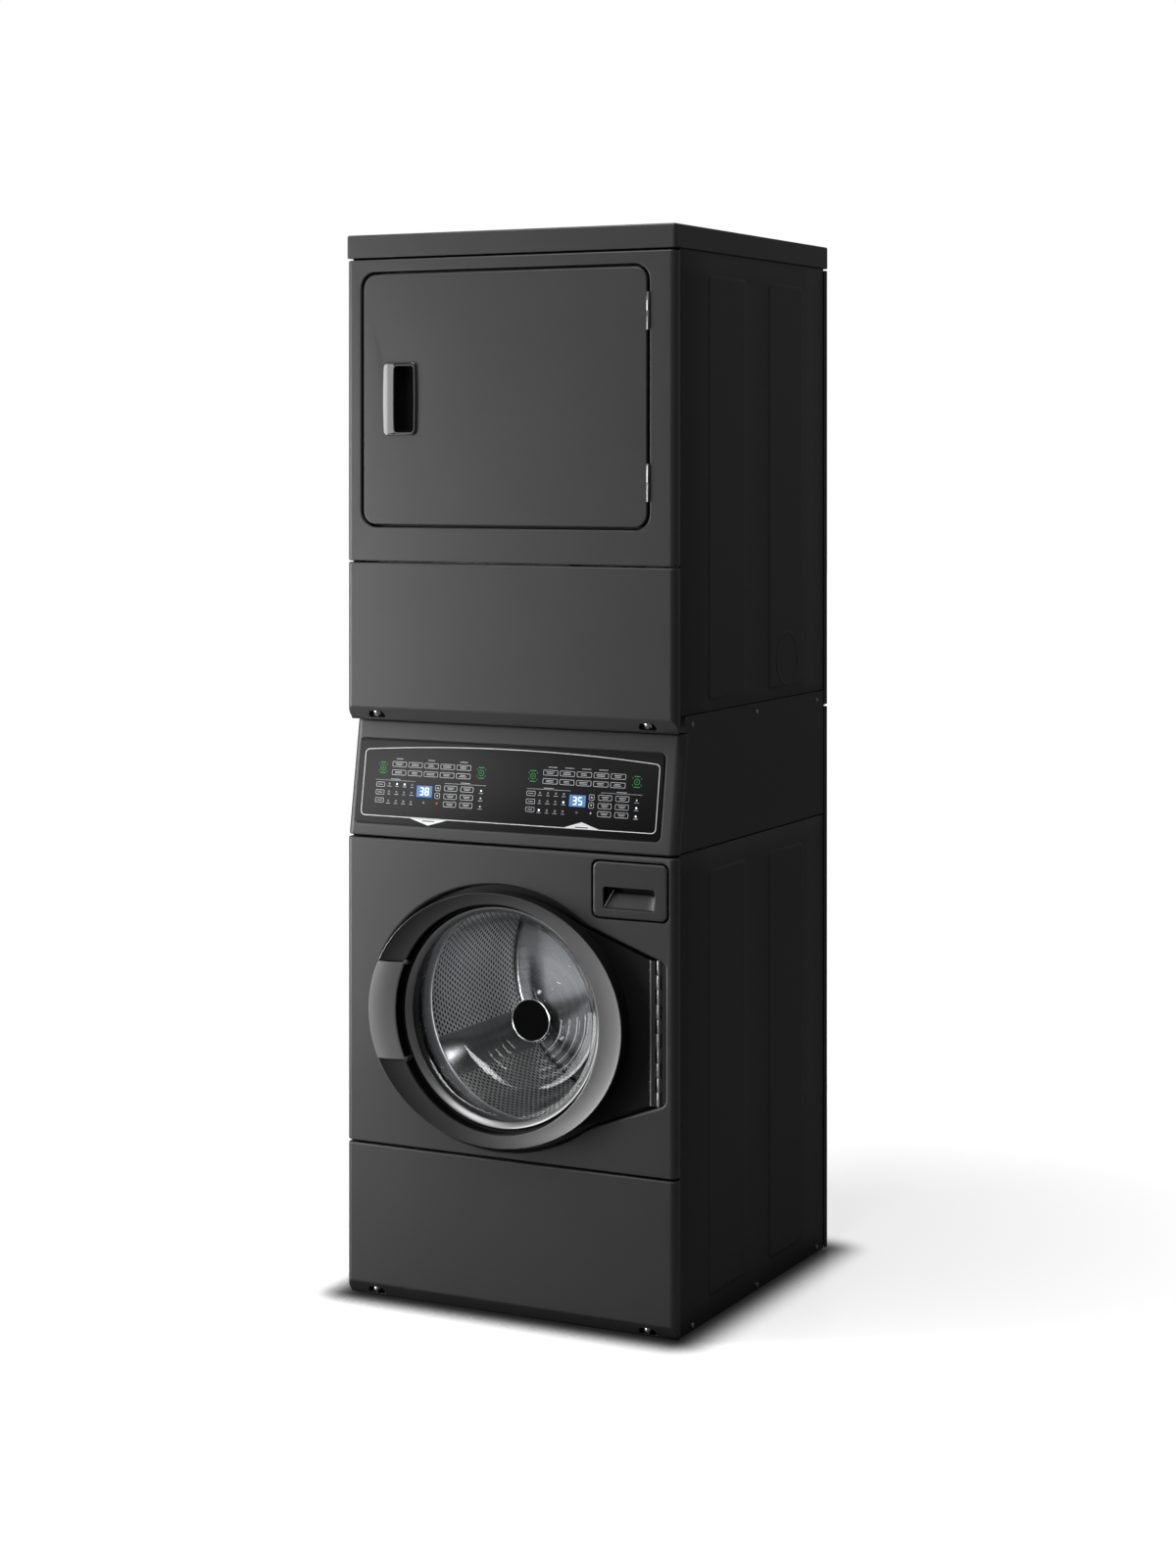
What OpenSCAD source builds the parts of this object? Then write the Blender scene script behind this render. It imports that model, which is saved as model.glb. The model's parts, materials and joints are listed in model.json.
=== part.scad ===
// Stacked laundry pair: a front-loading washer below and a tumble dryer above, in one cabinet.
// +Z is up, the front faces -Y and the origin is at the middle of the footprint. Millimetres.

/* [Cabinet] */
// Width across the side panels
cab_w = 683; // [682:1:686]
// Depth from the front panels to the rear panel
cab_d = 700; // [698:1:710]
// Height to the top of the cap
cab_h = 1984; // [1980:1:1988]
// Thickness of the sheet metal
sheet = 1.5; // [1.2:0.1:1.6]
// Radius of the folded front corners
corner_r = 12; // [8:1:14]
// How far the front panels fold round the sides
fold = 20; // [18:1:20]

/* [Washer door] */
// Half width of the door ring
ring_a = 263.8; // [258:0.2:265]
// Half height of the door ring
ring_b = 231.8; // [226:0.2:233]
// Radius of the ring's inner edge
ring_in = 209.5; // [207:0.5:211]
// How far the handle stands in front of the panels
door_out = 32; // [30:1:34]
// Widest opening angle of the door
door_open = 120; // [90:5:120]

/* [Drums] */
// Radius of the washer drum
drum_r = 262; // [255:1:264]
// Radius of the dryer drum
dryer_r = 322; // [318:1:322]
// Ribs or baffles in each drum
ribs = 3; // [2:1:4]

/* [Console] */
// Height of the control panel
console_h = 214; // [210:1:214]
// How far the top of the control panel leans back
console_lean = 35; // [30:1:38]

/* [Connections] */
// Radius of the exhaust collar
exhaust_r = 50.5; // [50:0.1:51]
// Radius of the threaded water inlets
inlet_r = 13.4; // [13:0.1:13.6]
// Radius of the drain outlet
drain_r = 15; // [14:0.5:16]

/* [Hidden] */
$fn = 72;

// Planes and edges of the cabinet
stub_out = door_out + 4;                 // exhaust collar behind the rear panel
front = -(cab_d + 4) / 2;                // front plane of the panels
back = front + cab_d;                    // rear plane of the rear panel
edge_x = cab_w / 2;                      // outside of the folded front panels
side_x = edge_x - sheet;                 // outside of the flat side panels
inner_x = side_x - sheet;                // inside of the side panels
pad_h = sheet;                           // height of the raised pads on the sides

// Levels
lower_z = [3, 286];                      // washer lower panel
front_z = [290, 858];                    // washer front panel
console_z = 862;                         // bottom of the control panel
deck_z = console_z + console_h + 1;      // top of the washer, where the dryer stands
dry_lower_z = [deck_z + 2, deck_z + 295];
dry_front_z = [deck_z + 298, cab_h - 47];
cap_z = cab_h - 43;
rail_h = 30;                             // height of the dryer's side rails

// Washer door and everything on its axis
door_x = -15;
door_z = 545;
dish = 26;                               // depth of the dish pressed in the front panel
dish_a = ring_a + 8;
dish_b = ring_b + 11;
wing_x = 316;                            // where the wing's slanted edges end, from the door's axis
wing_h = 133;                            // half height of the dish there
wing_slope = 0.36;
hinge = [306, front + 6];                // washer door's hinge pin
handle_h = 90;                           // half height of the handle
knuckles = 10;
knuckle_pitch = 26;
knuckle_r = 3.5;
pin_r = 1.5;
fit_gap = 0.05;                          // radial clearance of a shaft in its bore
gap = 0.3;                               // clearance between faces that pass each other
neck = 0.6;                              // how much slimmer a fitting is inside the rear panel
ring_steps = 96;

// Washer works
tub_r = 290;
tub_y = [front + 100, front + 585];
drum_y = [front + 110, front + 545];
shaft_r = 20;
bearing_r = 40;
pulley_y = [front + 632, front + 652];
pulley_r = 143;
motor_x = 55;
motor_z = 165;
motor_pulley_r = 12;
pump_at = [200, front + 60, 92];
spring_at = [[-314, 335], [284, 335]];   // x from the middle, y behind the front plane
damper_at = [[-150, 255], [120, 255], [-150, 480], [120, 480]];
feet_at = [290, 60];                     // feet from the middle, and in from front and back
screw_y = [72, 357, 648];                // side screws, behind the front plane
dimple_x = 281.5;                        // front screws, from the middle

// Control panel
console_tilt = atan(console_lean / console_h);
slope_len = norm([console_lean, console_h]);
overlay_at = [-9, 102.5];                // from the middle, and up the slope
overlay_size = [635, 157];

// Dispenser
disp_at = [251.5, 795];
disp_size = [148, 100];
drawer_x = [203, 315];
drawer_z = [768, 836];
drawer_y = [front + 16, front + 280];

// Dryer
dry_door_at = [-9.3, 1676.2];
dry_door_size = [588.9, 465];
dry_door_r = 25;
door_gap = 5.5;
dry_dish = 24;
dry_throat = [450, 320];
plug = [420, 290];                       // back of the door, which fills the throat
dry_side_z = [deck_z + rail_h + 1, cap_z];
dry_pads = [dry_side_z[0] + 18, dry_side_z[1] - 41];
dry_hinge = [dry_door_at[0] + dry_door_size[0] / 2 + door_gap / 2, front - 1];
dry_knuckle_r = 2.6;
dry_knuckles = [[1490, 1557], [1796, 1863]];
dry_handle_at = [-224.4, 1677];
dry_handle_size = [73, 136];
dry_x = -9.3;
dry_z = 1600;
lint_x = [dry_x - 124, dry_x + 124];
dry_drum_y = [front + 64, front + 640];
bulkhead_y = [front + 58, front + 646];
roller_r = 25;
roller_angle = 35;
roller_d = dryer_r + roller_r + gap;
roller_dx = roller_d * sin(roller_angle);
roller_z = dry_z - roller_d * cos(roller_angle);
fan_at = [-110, 1200];
fan_r = 72;
exhaust_at = [62, 1182];
belt_y = [front + 340, front + 354];
fan_pulley_r = 12;
belt_t = 3;
idler_r = 20;
idler_at = [-40.4, 1195.5];
heater_x = [130, 300];
heater_z = [1112, 1250];

// Colours
coat = [0.19, 0.19, 0.19];
coat_dark = [0.12, 0.12, 0.12];
steel = [0.62, 0.63, 0.64];
bright = [0.8, 0.81, 0.82];
zinc = [0.5, 0.51, 0.52];
black = [0.05, 0.05, 0.05];
rubber = [0.08, 0.08, 0.08];
tubgrey = [0.75, 0.76, 0.76];

// ---------- shapes that repeat ----------

// Flat outline in X and Z, extruded back from y0 by h
module xz(y0, h) translate([0, y0 + h, 0]) rotate([90, 0, 0]) linear_extrude(h) children();
// Flat outline in Y and Z, extruded to the right from x0 by h
module yz(x0, h) translate([x0, 0, 0]) rotate([90, 0, 90]) linear_extrude(h) children();
// Flat outline in X and Y, extruded up from z0 by h
module xy(z0, h) translate([0, 0, z0]) linear_extrude(h) children();
module box(lo, hi) translate(lo) cube(hi - lo);
module rod_x(at, r, h) translate(at) rotate([0, 90, 0]) cylinder(r = r, h = h);
module rod_y(at, r, h) translate(at) rotate([-90, 0, 0]) cylinder(r = r, h = h);
module rod_z(at, r, h) translate(at) cylinder(r = r, h = h);
// Turned shape round a Y axis: the profile is [radius, distance behind the front plane]
module turned(x, z) translate([x, front, z]) rotate([-90, 0, 0]) rotate_extrude() children();
module both_sides() { children(); mirror([1, 0, 0]) children(); }

module rrect(w, h, r) {
    square([w - 2 * r, h], center = true);
    square([w, h - 2 * r], center = true);
    for (sx = [-1, 1], sy = [-1, 1])
        translate([sx * (w / 2 - r), sy * (h / 2 - r)]) circle(r);
}

// Outline of the folded front sheet, seen from above, set in by g
module fold_outline(g, depth = fold) {
    intersection() {
        translate([0, front + 60]) rrect(cab_w - 2 * g, 120 - 2 * g, corner_r - g);
        translate([-cab_w / 2, front]) square([cab_w, depth]);
    }
}

// Front sheet folded round both corners, with a return along its top and bottom
module folded_front(z0, z1) {
    xy(z0, z1 - z0) difference() {
        fold_outline(0);
        fold_outline(sheet, fold + 1);
    }
    for (z = [z0, z1 - sheet]) xy(z, sheet) fold_outline(0, fold - 2);
}

// Solid of a folded front panel whose bottom edge is cut at 45 degrees, set in by g
module chamfered(z0, z1, g) {
    top = z1 - g;
    low = z0 + fold + g * (sqrt(2) - 1);
    rear = front + fold + g;
    intersection() {
        xy(z0 - fold, z1 - z0 + fold - g) fold_outline(g, fold + g);
        yz(-cab_w, 2 * cab_w)
            polygon([[front + g, top], [rear, top], [rear, z0 + g * (sqrt(2) - 1)], [front + g, low]]);
    }
}

module chamfered_front(z0, z1) {
    difference() {
        chamfered(z0, z1, 0);
        chamfered(z0, z1, sheet);
        for (sx = [-1, 1]) dimple_axis(sx, z0) cylinder(r = 2.2, h = 8, center = true);
    }
}

// Places its children on the cut edge, with +Z out of the panel
module dimple_axis(sx, z0) translate([sx * dimple_x, front + fold / 2, z0 + fold / 2])
    rotate([135, 0, 0]) children();

// Side panel on the right, with two raised pads
module side_panel(z0, z1, pads_z, top_return) {
    y0 = front + fold + 1;
    y1 = back - 15;
    pads = [[140, 308], [412, 577]];
    mid_z = (pads_z[0] + pads_z[1]) / 2;
    yz(inner_x, sheet) difference() {
        translate([y0, z0]) square([y1 - y0, z1 - z0]);
        for (p = pads) translate([front + (p[0] + p[1]) / 2, mid_z])
            rrect(p[1] - p[0] - 8, pads_z[1] - pads_z[0] - 8, 6);
        if (top_return == 0) for (y = screw_y) translate([front + y, 15]) circle(2.2);
    }
    yz(side_x, pad_h) for (p = pads) translate([front + (p[0] + p[1]) / 2, mid_z])
        rrect(p[1] - p[0], pads_z[1] - pads_z[0], 8);
    box([inner_x - 20, front + 30, z0 + 4], [inner_x, front + 30 + sheet, z1 - 4]);
    box([inner_x - 12, y1 - sheet, z0 + 4], [inner_x, y1, z1 - 4]);
    if (top_return > 0) box([inner_x - top_return, front + 60, z1 - sheet], [inner_x, y1 - 20, z1]);
}

// Screw with a pan head that stands on z = 0
module screw(len = 7) {
    cylinder(r = 4.2, h = 2.2);
    translate([0, 0, -len]) cylinder(r = 2, h = len);
}

// Round strut between two points
module strut(a, b, r) {
    d = b - a;
    translate(a) rotate([0, acos(d[2] / norm(d)), atan2(d[1], d[0])]) cylinder(r = r, h = norm(d));
}

// Points of the door ring: k is 0 on the inner circle and 1 on the outer oval
function ring_at(angle, k, y) = [
    ((1 - k) * ring_in + k * ring_a) * cos(angle) + door_x,
    front + y,
    ((1 - k) * ring_in + k * ring_b) * sin(angle) + door_z
];
// Band with the section s, swept from angle a0 to a1; it is closed when they are 360 degrees apart
module ring_band(s, a0, a1, steps) {
    loop = a1 - a0 >= 360;
    n = len(s);
    m = loop ? steps : steps + 1;
    pts = [for (i = [0:m - 1], p = s) ring_at(a0 + i * (a1 - a0) / steps, p[0], p[1])];
    walls = [for (i = [0:steps - 1], j = [0:n - 1])
        let (a = (i % m) * n, b = ((i + 1) % m) * n, k = (j + 1) % n)
        each [[a + j, b + j, b + k], [a + j, b + k, a + k]]];
    ends = loop ? [] : [[for (j = [0:n - 1]) j], [for (j = [n - 1:-1:0]) (m - 1) * n + j]];
    polyhedron(pts, concat(walls, ends), convexity = 8);
}
function oval(a, b, n = ring_steps) = [for (i = [0:n - 1]) [a * cos(i * 360 / n), b * sin(i * 360 / n)]];

// The wing towards the hinge, from the door's axis; g grows it on every side
module wing(end, g) {
    start = 100;
    top = wing_h + g + wing_slope * (wing_x - start);
    polygon([[start, top], [wing_x, wing_h + g], [end + g, wing_h + g - 5],
             [end + g, -wing_h - g + 5], [wing_x, -wing_h - g], [start, -top]]);
}
module dish_outline(g) translate([door_x, door_z]) {
    polygon(oval(dish_a + g, dish_b + g));
    wing(336, g);
}

// Coil spring along Z from z = 0: radius, wire radius, height and turns
function coil_ring(i, n, r, w, h, turns, sides) = [for (j = [0:sides - 1])
    let (a = 360 * turns * i / n, b = 360 * j / sides)
    [(r + w * cos(b)) * cos(a), (r + w * cos(b)) * sin(a), w + (h - 2 * w) * i / n + w * sin(b)]];
module coil(r, w, h, turns) {
    sides = 6;
    n = turns * 10;
    pts = [for (i = [0:n]) each coil_ring(i, n, r, w, h, turns, sides)];
    walls = [for (i = [0:n - 1], j = [0:sides - 1])
        let (a = i * sides, b = (i + 1) * sides, k = (j + 1) % sides)
        each [[a + j, a + k, b + k], [a + j, b + k, b + j]]];
    polyhedron(pts, concat(walls, [[for (j = [sides - 1:-1:0]) j], [for (j = [0:sides - 1]) n * sides + j]]),
        convexity = 10);
}

// Flat belt round two pulleys, as an outline in X and Z
module belt(a, ra, b, rb, t) difference() {
    hull() { translate(a) circle(ra + t); translate(b) circle(rb + t); }
    hull() { translate(a) circle(ra); translate(b) circle(rb); }
}

// ---------- washer cabinet ----------

module washer_base() color(zinc) difference() {
    union() {
        box([-inner_x, front + 33, 22], [inner_x, back - 18, 24]);
        both_sides() box([inner_x - 2, front + 33, 8], [inner_x, back - 18, 62]);
        box([-inner_x, front + 33, 22], [inner_x, front + 35, 62]);
        box([-inner_x, back - 20, 22], [inner_x, back - 18, 62]);
    }
    box([-200, front + 200, 20], [60, back - 200, 30]);
    for (sx = [-1, 1], y = [front + feet_at[1], back - feet_at[1]])
        rod_z([sx * feet_at[0], y, 20], 5.3, 6);
    for (sx = [-1, 1], y = screw_y) rod_x([sx * inner_x - 5, front + y, 15], 2.2, 10);
}

module levelling_feet() color(rubber)
    for (sx = [-1, 1], y = [front + feet_at[1], back - feet_at[1]])
        translate([sx * feet_at[0], y, 0]) {
            cylinder(r = 20, h = 6);
            translate([0, 0, 6]) cylinder(r = 14, h = 4);
            cylinder(r = 5, h = 48);
            translate([0, 0, 15]) cylinder(r = 9, h = 6.8, $fn = 6);
        }

module washer_side_right() color(coat) side_panel(4, console_z, [46, 822], 0);
module washer_side_left() color(coat) mirror([1, 0, 0]) side_panel(4, console_z, [46, 822], 0);

// Rear panel with its sides folded forward
module rear_panel(z0, z1) {
    box([-edge_x, back - sheet, z0], [edge_x, back, z1]);
    both_sides() box([side_x, back - 14, z0], [edge_x, back, z1]);
}

module washer_rear_panel() color(coat) difference() {
    rear_panel(4, deck_z - 2);
    for (x = [-250, -195]) rod_y([x, back - 5, 780], inlet_r + 1, 10);
    rod_y([-250, back - 5, 690], drain_r + 1, 10);
    rod_y([250, back - 5, 780], 11.1, 10);
    for (i = [0:5]) xz(back - 5, 10) translate([200, 150 + 18 * i]) rrect(90, 6, 2.9);
    for (sx = [-1, 1], z = [60, 460, 840]) rod_y([sx * 325, back - 5, z], 2.2, 10);
}

module washer_front_panel() color(coat) difference() {
    union() {
        folded_front(front_z[0], front_z[1]);
        xz(front, dish + sheet) dish_outline(sheet);
    }
    xz(front - 1, dish + 1) dish_outline(0);
    rod_y([door_x, front, door_z], 224, 40);
    box([door_x - 250, front + 20, door_z - 14], [door_x - 234, front + 40, door_z + 14]);
    xz(front - 1, 20) translate(disp_at) rrect(disp_size[0] + 6, disp_size[1] + 6, 14);
}

module washer_lower_panel() color(coat) chamfered_front(lower_z[0], lower_z[1]);

// ---------- washer works ----------

module washer_tub() color(tubgrey) {
    turned(door_x, door_z) polygon([
        [218, 92], [222, 92], [222, 100], [tub_r, 100], [tub_r, 585], [62, 585], [62, 622],
        [bearing_r, 622], [bearing_r, 585], [21, 585], [21, 580], [tub_r - 4, 580],
        [tub_r - 4, 104], [218, 104]]);
    for (y = [587, 605]) turned(door_x, door_z) translate([shaft_r + fit_gap, y])
        square([bearing_r - shaft_r - 2 * fit_gap, 15]);
    spring_lug_sides() box([0, front + 320, 90], [30, front + 350, 100]);
}
// The lugs reach out from the tub to the springs on each side
module spring_lug_sides() {
    translate([258, 0, door_z]) children();
    translate([-288, 0, door_z]) mirror([1, 0, 0]) children();
}

module door_gasket() color(rubber) turned(door_x, door_z) polygon([
    [230, 27.7], [230, 34], [222, 36], [211, 50], [226, 66], [226.2, 98], [222.4, 98], [222.4, 68],
    [206, 50], [216, 36], [203, 33], [201, 28.5], [204, 28], [214, 30], [218, 27.7]]);

module counterweights() color([0.45, 0.45, 0.44]) {
    for (a = [30, 210]) translate([door_x, front + 62, door_z]) rotate([-90, -a, 0])
        rotate([0, 0, -120]) rotate_extrude(angle = 120) translate([233, 0]) square([52, 37.5]);
}

module tub_suspension() color(zinc) {
    for (s = spring_at) {
        translate([s[0], front + s[1], 645.5]) coil(9, 2, 150, 12);
        sx = sign(s[0]);
        box([sx > 0 ? s[0] - 4 : -inner_x, front + s[1] - 15, 796],
            [sx > 0 ? inner_x : s[0] + 4, front + s[1] + 15, 800]);
    }
    for (d = damper_at) {
        sx = sign(d[0] - door_x);
        foot = [d[0] + sx * 70, front + d[1], 36];
        top = [d[0], front + d[1], 268];
        mid = foot + (top - foot) * 0.62;
        strut(foot, mid, 14);
        strut(mid, top, 5);
    }
}

module washer_motor() color([0.35, 0.36, 0.37]) difference() {
    union() {
        rod_y([motor_x, front + 470, motor_z], 62, 140);
        rod_y([motor_x, front + 610, motor_z], 30, 6);
        box([motor_x - 30, front + 480, motor_z + 50], [motor_x + 30, front + 600, 255]);
    }
    rod_y([motor_x, front + 596, motor_z], 7 + fit_gap, 30);
    rod_ring([motor_x, front + 476, motor_z], 34, 58, 118);
    rod_y([door_x, front + 400, door_z], tub_r + gap, 300);
}

module drain_pump() color([0.3, 0.3, 0.31]) translate(pump_at) rotate([-90, 0, 0]) difference() {
    union() {
        cylinder(r = 30, h = 60);
        cylinder(r = 34, h = 6);
        translate([0, 0, 60]) cylinder(r = 36, h = 40);
        translate([0, 0, 100]) cylinder(r = 26, h = 60);
        translate([-12, -54, 66]) cube([24, 30, 24]);
    }
    translate([0, 0, 64]) cylinder(r = 32, h = 33);
    translate([0, 0, 96]) cylinder(r = 3 + fit_gap, h = 24);
}

module pump_impeller() color(black) translate(pump_at) rotate([-90, 0, 0]) {
    translate([0, 0, 92]) cylinder(r = 28, h = 3);
    translate([0, 0, 72]) cylinder(r = 7, h = 23);
    for (i = [0:5]) rotate(60 * i) translate([5, -1.5, 72]) cube([22, 3, 20.5]);
    translate([0, 0, 94]) cylinder(r = 3, h = 24);
}

module hose_connectors() color([0.25, 0.35, 0.6]) {
    for (x = [-250, -195]) {
        rod_y([x, back - 30, 780], inlet_r - neck, 30);
        rod_y([x, back, 780], inlet_r, 20);
        rod_z([x, back - 26, 800], 11, 30);
        box([x - 15, back - 42, 760], [x + 15, back - 14, 800]);
    }
    rod_y([-250, back - 30, 690], drain_r - neck, 30);
    rod_y([-250, back, 690], drain_r, 22);
    difference() {
        rod_y([250, back - 4, 780], 11, 6);
        rod_y([250, back - 10, 780], 9.5, 20);
    }
}

module motor_pulley() color(steel) {
    rod_y([motor_x, front + 598, motor_z], 7, 57);
    rod_y([motor_x, pulley_y[0], motor_z], motor_pulley_r, 20);
    for (y = [pulley_y[0], pulley_y[1] - 2]) rod_y([motor_x, y, motor_z], motor_pulley_r + 4, 2);
}

module drum_pulley() color(steel) translate([door_x, pulley_y[0], door_z]) rotate([-90, 0, 0]) {
    difference() {
        union() {
            cylinder(r = pulley_r, h = 20);
            for (z = [0, 18]) translate([0, 0, z]) cylinder(r = pulley_r + 4.5, h = 2);
        }
        translate([0, 0, -1]) cylinder(r = pulley_r - 8, h = 30);
    }
    for (i = [0:4]) rotate(72 * i) translate([25, -9, 6]) cube([pulley_r - 30, 18, 8]);
    difference() {
        cylinder(r = 32, h = 20);
        translate([0, 0, -1]) cylinder(r = shaft_r, h = 30);
    }
}

module drum_spider() color(steel) translate([door_x, front, door_z]) rotate([-90, 0, 0]) {
    translate([0, 0, 548]) cylinder(r = 46, h = 24);
    for (i = [0:2]) rotate(120 * i + 30) translate([0, -22, 546]) cube([drum_r - 8, 44, 18]);
    translate([0, 0, 560]) cylinder(r = shaft_r, h = 92);
    translate([0, 0, 652]) cylinder(r = 27, h = 4);
    translate([0, 0, 656]) cylinder(r = 13, h = 9, $fn = 6);
}

module washer_drum() color(bright) turned(door_x, door_z) polygon([
    [204, 110], [206, 107.5], [238, 109], [254, 115], [drum_r, 128], [drum_r, 545], [0, 545],
    [0, 543.5], [drum_r - 1.5, 543.5], [drum_r - 1.5, 129], [253, 116.5], [237, 110.7],
    [207, 109.3], [205.5, 111]]);

module drum_lifters() color(bright) translate([door_x, front + 150, door_z]) rotate([-90, 0, 0])
    for (i = [0:ribs - 1]) rotate(360 / ribs * i + 30) linear_extrude(370) difference() {
        rib_outline(drum_r - 1.6, 42, 16, 70);
        rib_outline(drum_r - 1.6 - 1.2, 40, 14.6, 68.6);
    }

// Rib inside a drum of radius r: half widths at the wall and near the crest, and height
module rib_outline(r, wide, narrow, high) intersection() {
    circle(r);
    polygon([[r + 5, -wide], [r + 5, wide], [r - high + 10, narrow], [r - high, narrow / 2],
             [r - high, -narrow / 2], [r - high + 10, -narrow]]);
}

module drive_belts() color(black) {
    xz(pulley_y[0] + 2.5, 15)
        belt([door_x, door_z], pulley_r + 0.5, [motor_x, motor_z], motor_pulley_r + 0.5, belt_t);
    xz(belt_y[0], belt_y[1] - belt_y[0])
        belt([dry_x, dry_z], dryer_r + 1, fan_at, fan_pulley_r + 0.5, belt_t - 0.5);
}

// ---------- dispenser ----------

module dispenser_housing() color(black) difference() {
    box([drawer_x[0] - 3, front + 22, drawer_z[0] - 4], [drawer_x[1] + 3, front + 292, drawer_z[1] + 4]);
    box([drawer_x[0] - 1, front, drawer_z[0] - 1.5], [drawer_x[1] + 1, front + 290, drawer_z[1] + 1.5]);
}

module dispenser_drawer() color([0.3, 0.3, 0.32]) difference() {
    box([drawer_x[0], drawer_y[0], drawer_z[0]], [drawer_x[1], drawer_y[1], drawer_z[1] - 10]);
    for (c = [[2, 34], [36.5, 74], [76.5, 110]])
        box([drawer_x[0] + c[0], drawer_y[0] + 6, drawer_z[0] + 2.5],
            [drawer_x[0] + c[1], drawer_y[1] - 4, drawer_z[1]]);
}

module dispenser_front() color(coat) difference() {
    xz(front - 1, 17) translate(disp_at) rrect(disp_size[0], disp_size[1], 12);
    xz(front - 2, 14) translate([249.5, 780.5]) rrect(102, 39, 5);
}

// ---------- washer door ----------

module handle_space(g) box([door_x - 300, front - 60, door_z - handle_h - g],
    [door_x - 100, front + 5.9 + g, door_z + handle_h + g]);

module washer_door_ring() color(coat_dark) difference() {
    ring_band([[0, 6], [0, -13], [0.03, -15], [0.95, -25.5], [1, -23.5], [0.97, 6]], 0, 360, ring_steps);
    handle_space(0.3);
}

module washer_door_handle() color(coat) intersection() {
    ring_band([[0, -17], [0.16, -22], [0.35, -27.5], [0.5, -30], [0.65, -door_out], [0.85, -30],
               [1, -23.5], [0.97, 6], [0.9, 6], [0.93, -19], [0.8, -25.5], [0.5, -26], [0.03, -13.5]],
              150, 210, 20);
    handle_space(-0.1);
}

module washer_door_trim() color(bright) turned(door_x, door_z) polygon([
    [205, 4], [205, 8], [201.8, 8], [201.8, 16], [191.5, 16], [191.5, 14], [203.5, 3.5]]);

module washer_door_glass() color([0.5, 0.5, 0.52, 0.35]) turned(door_x, door_z) polygon([
    [201.6, 16.05], [201.6, 20], [187, 20], [182, 34], [170, 96], [158, 118], [130, 130], [0, 136],
    [0, 131.5], [128, 125.8], [154.5, 114.5], [166, 94], [178, 33], [184, 16.05]]);

module washer_door_frame() color(black) difference() {
    xz(front + 6, 14) translate([door_x, door_z]) {
        polygon(oval(ring_a - 4, ring_b - 4));
        wing(wing_x - 3, -7);
    }
    turned(door_x, door_z) translate([0, 5]) square([205.2, 3.1]);
    turned(door_x, door_z) translate([0, 5]) square([201.9, 30]);
}

// Knuckles from first on, every second one
module knuckle_row(first) for (i = [first:2:knuckles - 1])
    rod_z([hinge[0], hinge[1], door_z + (i - knuckles / 2) * knuckle_pitch + 0.3],
        knuckle_r, knuckle_pitch - 0.6);

module washer_door_hardware() color(bright) {
    difference() {
        union() {
            knuckle_row(0);
            for (i = [0:2:knuckles - 1])
                translate([290, hinge[1] - 1.6, door_z + (i - knuckles / 2) * knuckle_pitch + 0.3])
                    cube([14, 1.5, knuckle_pitch - 0.6]);
            box([289, hinge[1] - 1.6, door_z - 129.7], [300, hinge[1] - 0.1, door_z + 129.7]);
        }
        rod_z([hinge[0], hinge[1], door_z - 150], pin_r + fit_gap, 300);
    }
    box([door_x - 246, front + 20, door_z - 8], [door_x - 239, front + 46, door_z + 8]);
    box([door_x - 246, front + 40, door_z - 8], [door_x - 237, front + 46, door_z + 8]);
}

// Fixed hinge leaves and pins of both doors
module hinge_frames() color(bright) {
    knuckle_row(1);
    for (i = [1:2:knuckles - 1])
        translate([308, hinge[1] - 0.7, door_z + (i - knuckles / 2) * knuckle_pitch + 0.3])
            cube([6, 1.4, knuckle_pitch - 0.6]);
    box([312, hinge[1] - 0.7, door_z - 126], [door_x + 336, hinge[1] + 0.7, door_z + 126]);
    box([door_x + 334.5, hinge[1], door_z - 120], [door_x + 336, front + 24, door_z + 120]);
    rod_z([hinge[0], hinge[1], door_z - 129.9], pin_r, 259.8);
    for (k = dry_knuckles) {
        mid = (k[0] + k[1]) / 2;
        rod_z([dry_hinge[0], dry_hinge[1], k[0]], dry_knuckle_r, mid - k[0] - 0.3);
        rod_z([dry_hinge[0], dry_hinge[1], k[0]], 1.2, k[1] - k[0]);
        box([dry_hinge[0] + 1.4, front - 1, k[0]], [dry_hinge[0] + 2.7, front + 20, mid - 0.3]);
    }
}

// Lock of the washer door and catch of the dryer door, with the dryer's door switch body
module door_catches() color(black) {
    difference() {
        box([door_x - 262, front + 28, door_z - 45], [door_x - 231.5, front + 58, door_z + 45]);
        box([door_x - 252, front + 20, door_z - 14], [door_x - 232.5, front + 54, door_z + 14]);
    }
    difference() {
        box([-302, front + 26, 1640], [-268, front + 52, 1712]);
        box([-293, front + 20, 1664], [-276, front + 48, 1688]);
    }
}

// ---------- control panel ----------

// Places its children on the sloping face: X along it, Y into it, Z up the slope
module on_slope() translate([0, front, console_z]) rotate([-console_tilt, 0, 0]) translate([0, -front, 0])
    children();

module console() color(coat) intersection() {
    box([-edge_x, front - 5, console_z], [edge_x, front + 90, console_z + console_h]);
    on_slope() difference() {
        translate([0, 0, -20]) linear_extrude(slope_len + 40) difference() {
            intersection() {
                translate([0, front + 60]) rrect(cab_w, 120, 15);
                translate([-cab_w, front]) square([2 * cab_w, fold]);
            }
            translate([0, front + 60]) rrect(cab_w - 6, 114, 12);
        }
        xz(front - 1, 2.6) translate(overlay_at) rrect(overlay_size[0] + 0.6, overlay_size[1] + 0.6, 10);
    }
}

module control_overlay() color(black) on_slope()
    xz(front + 0.1, 1.45) translate(overlay_at) rrect(overlay_size[0], overlay_size[1], 9.7);

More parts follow.
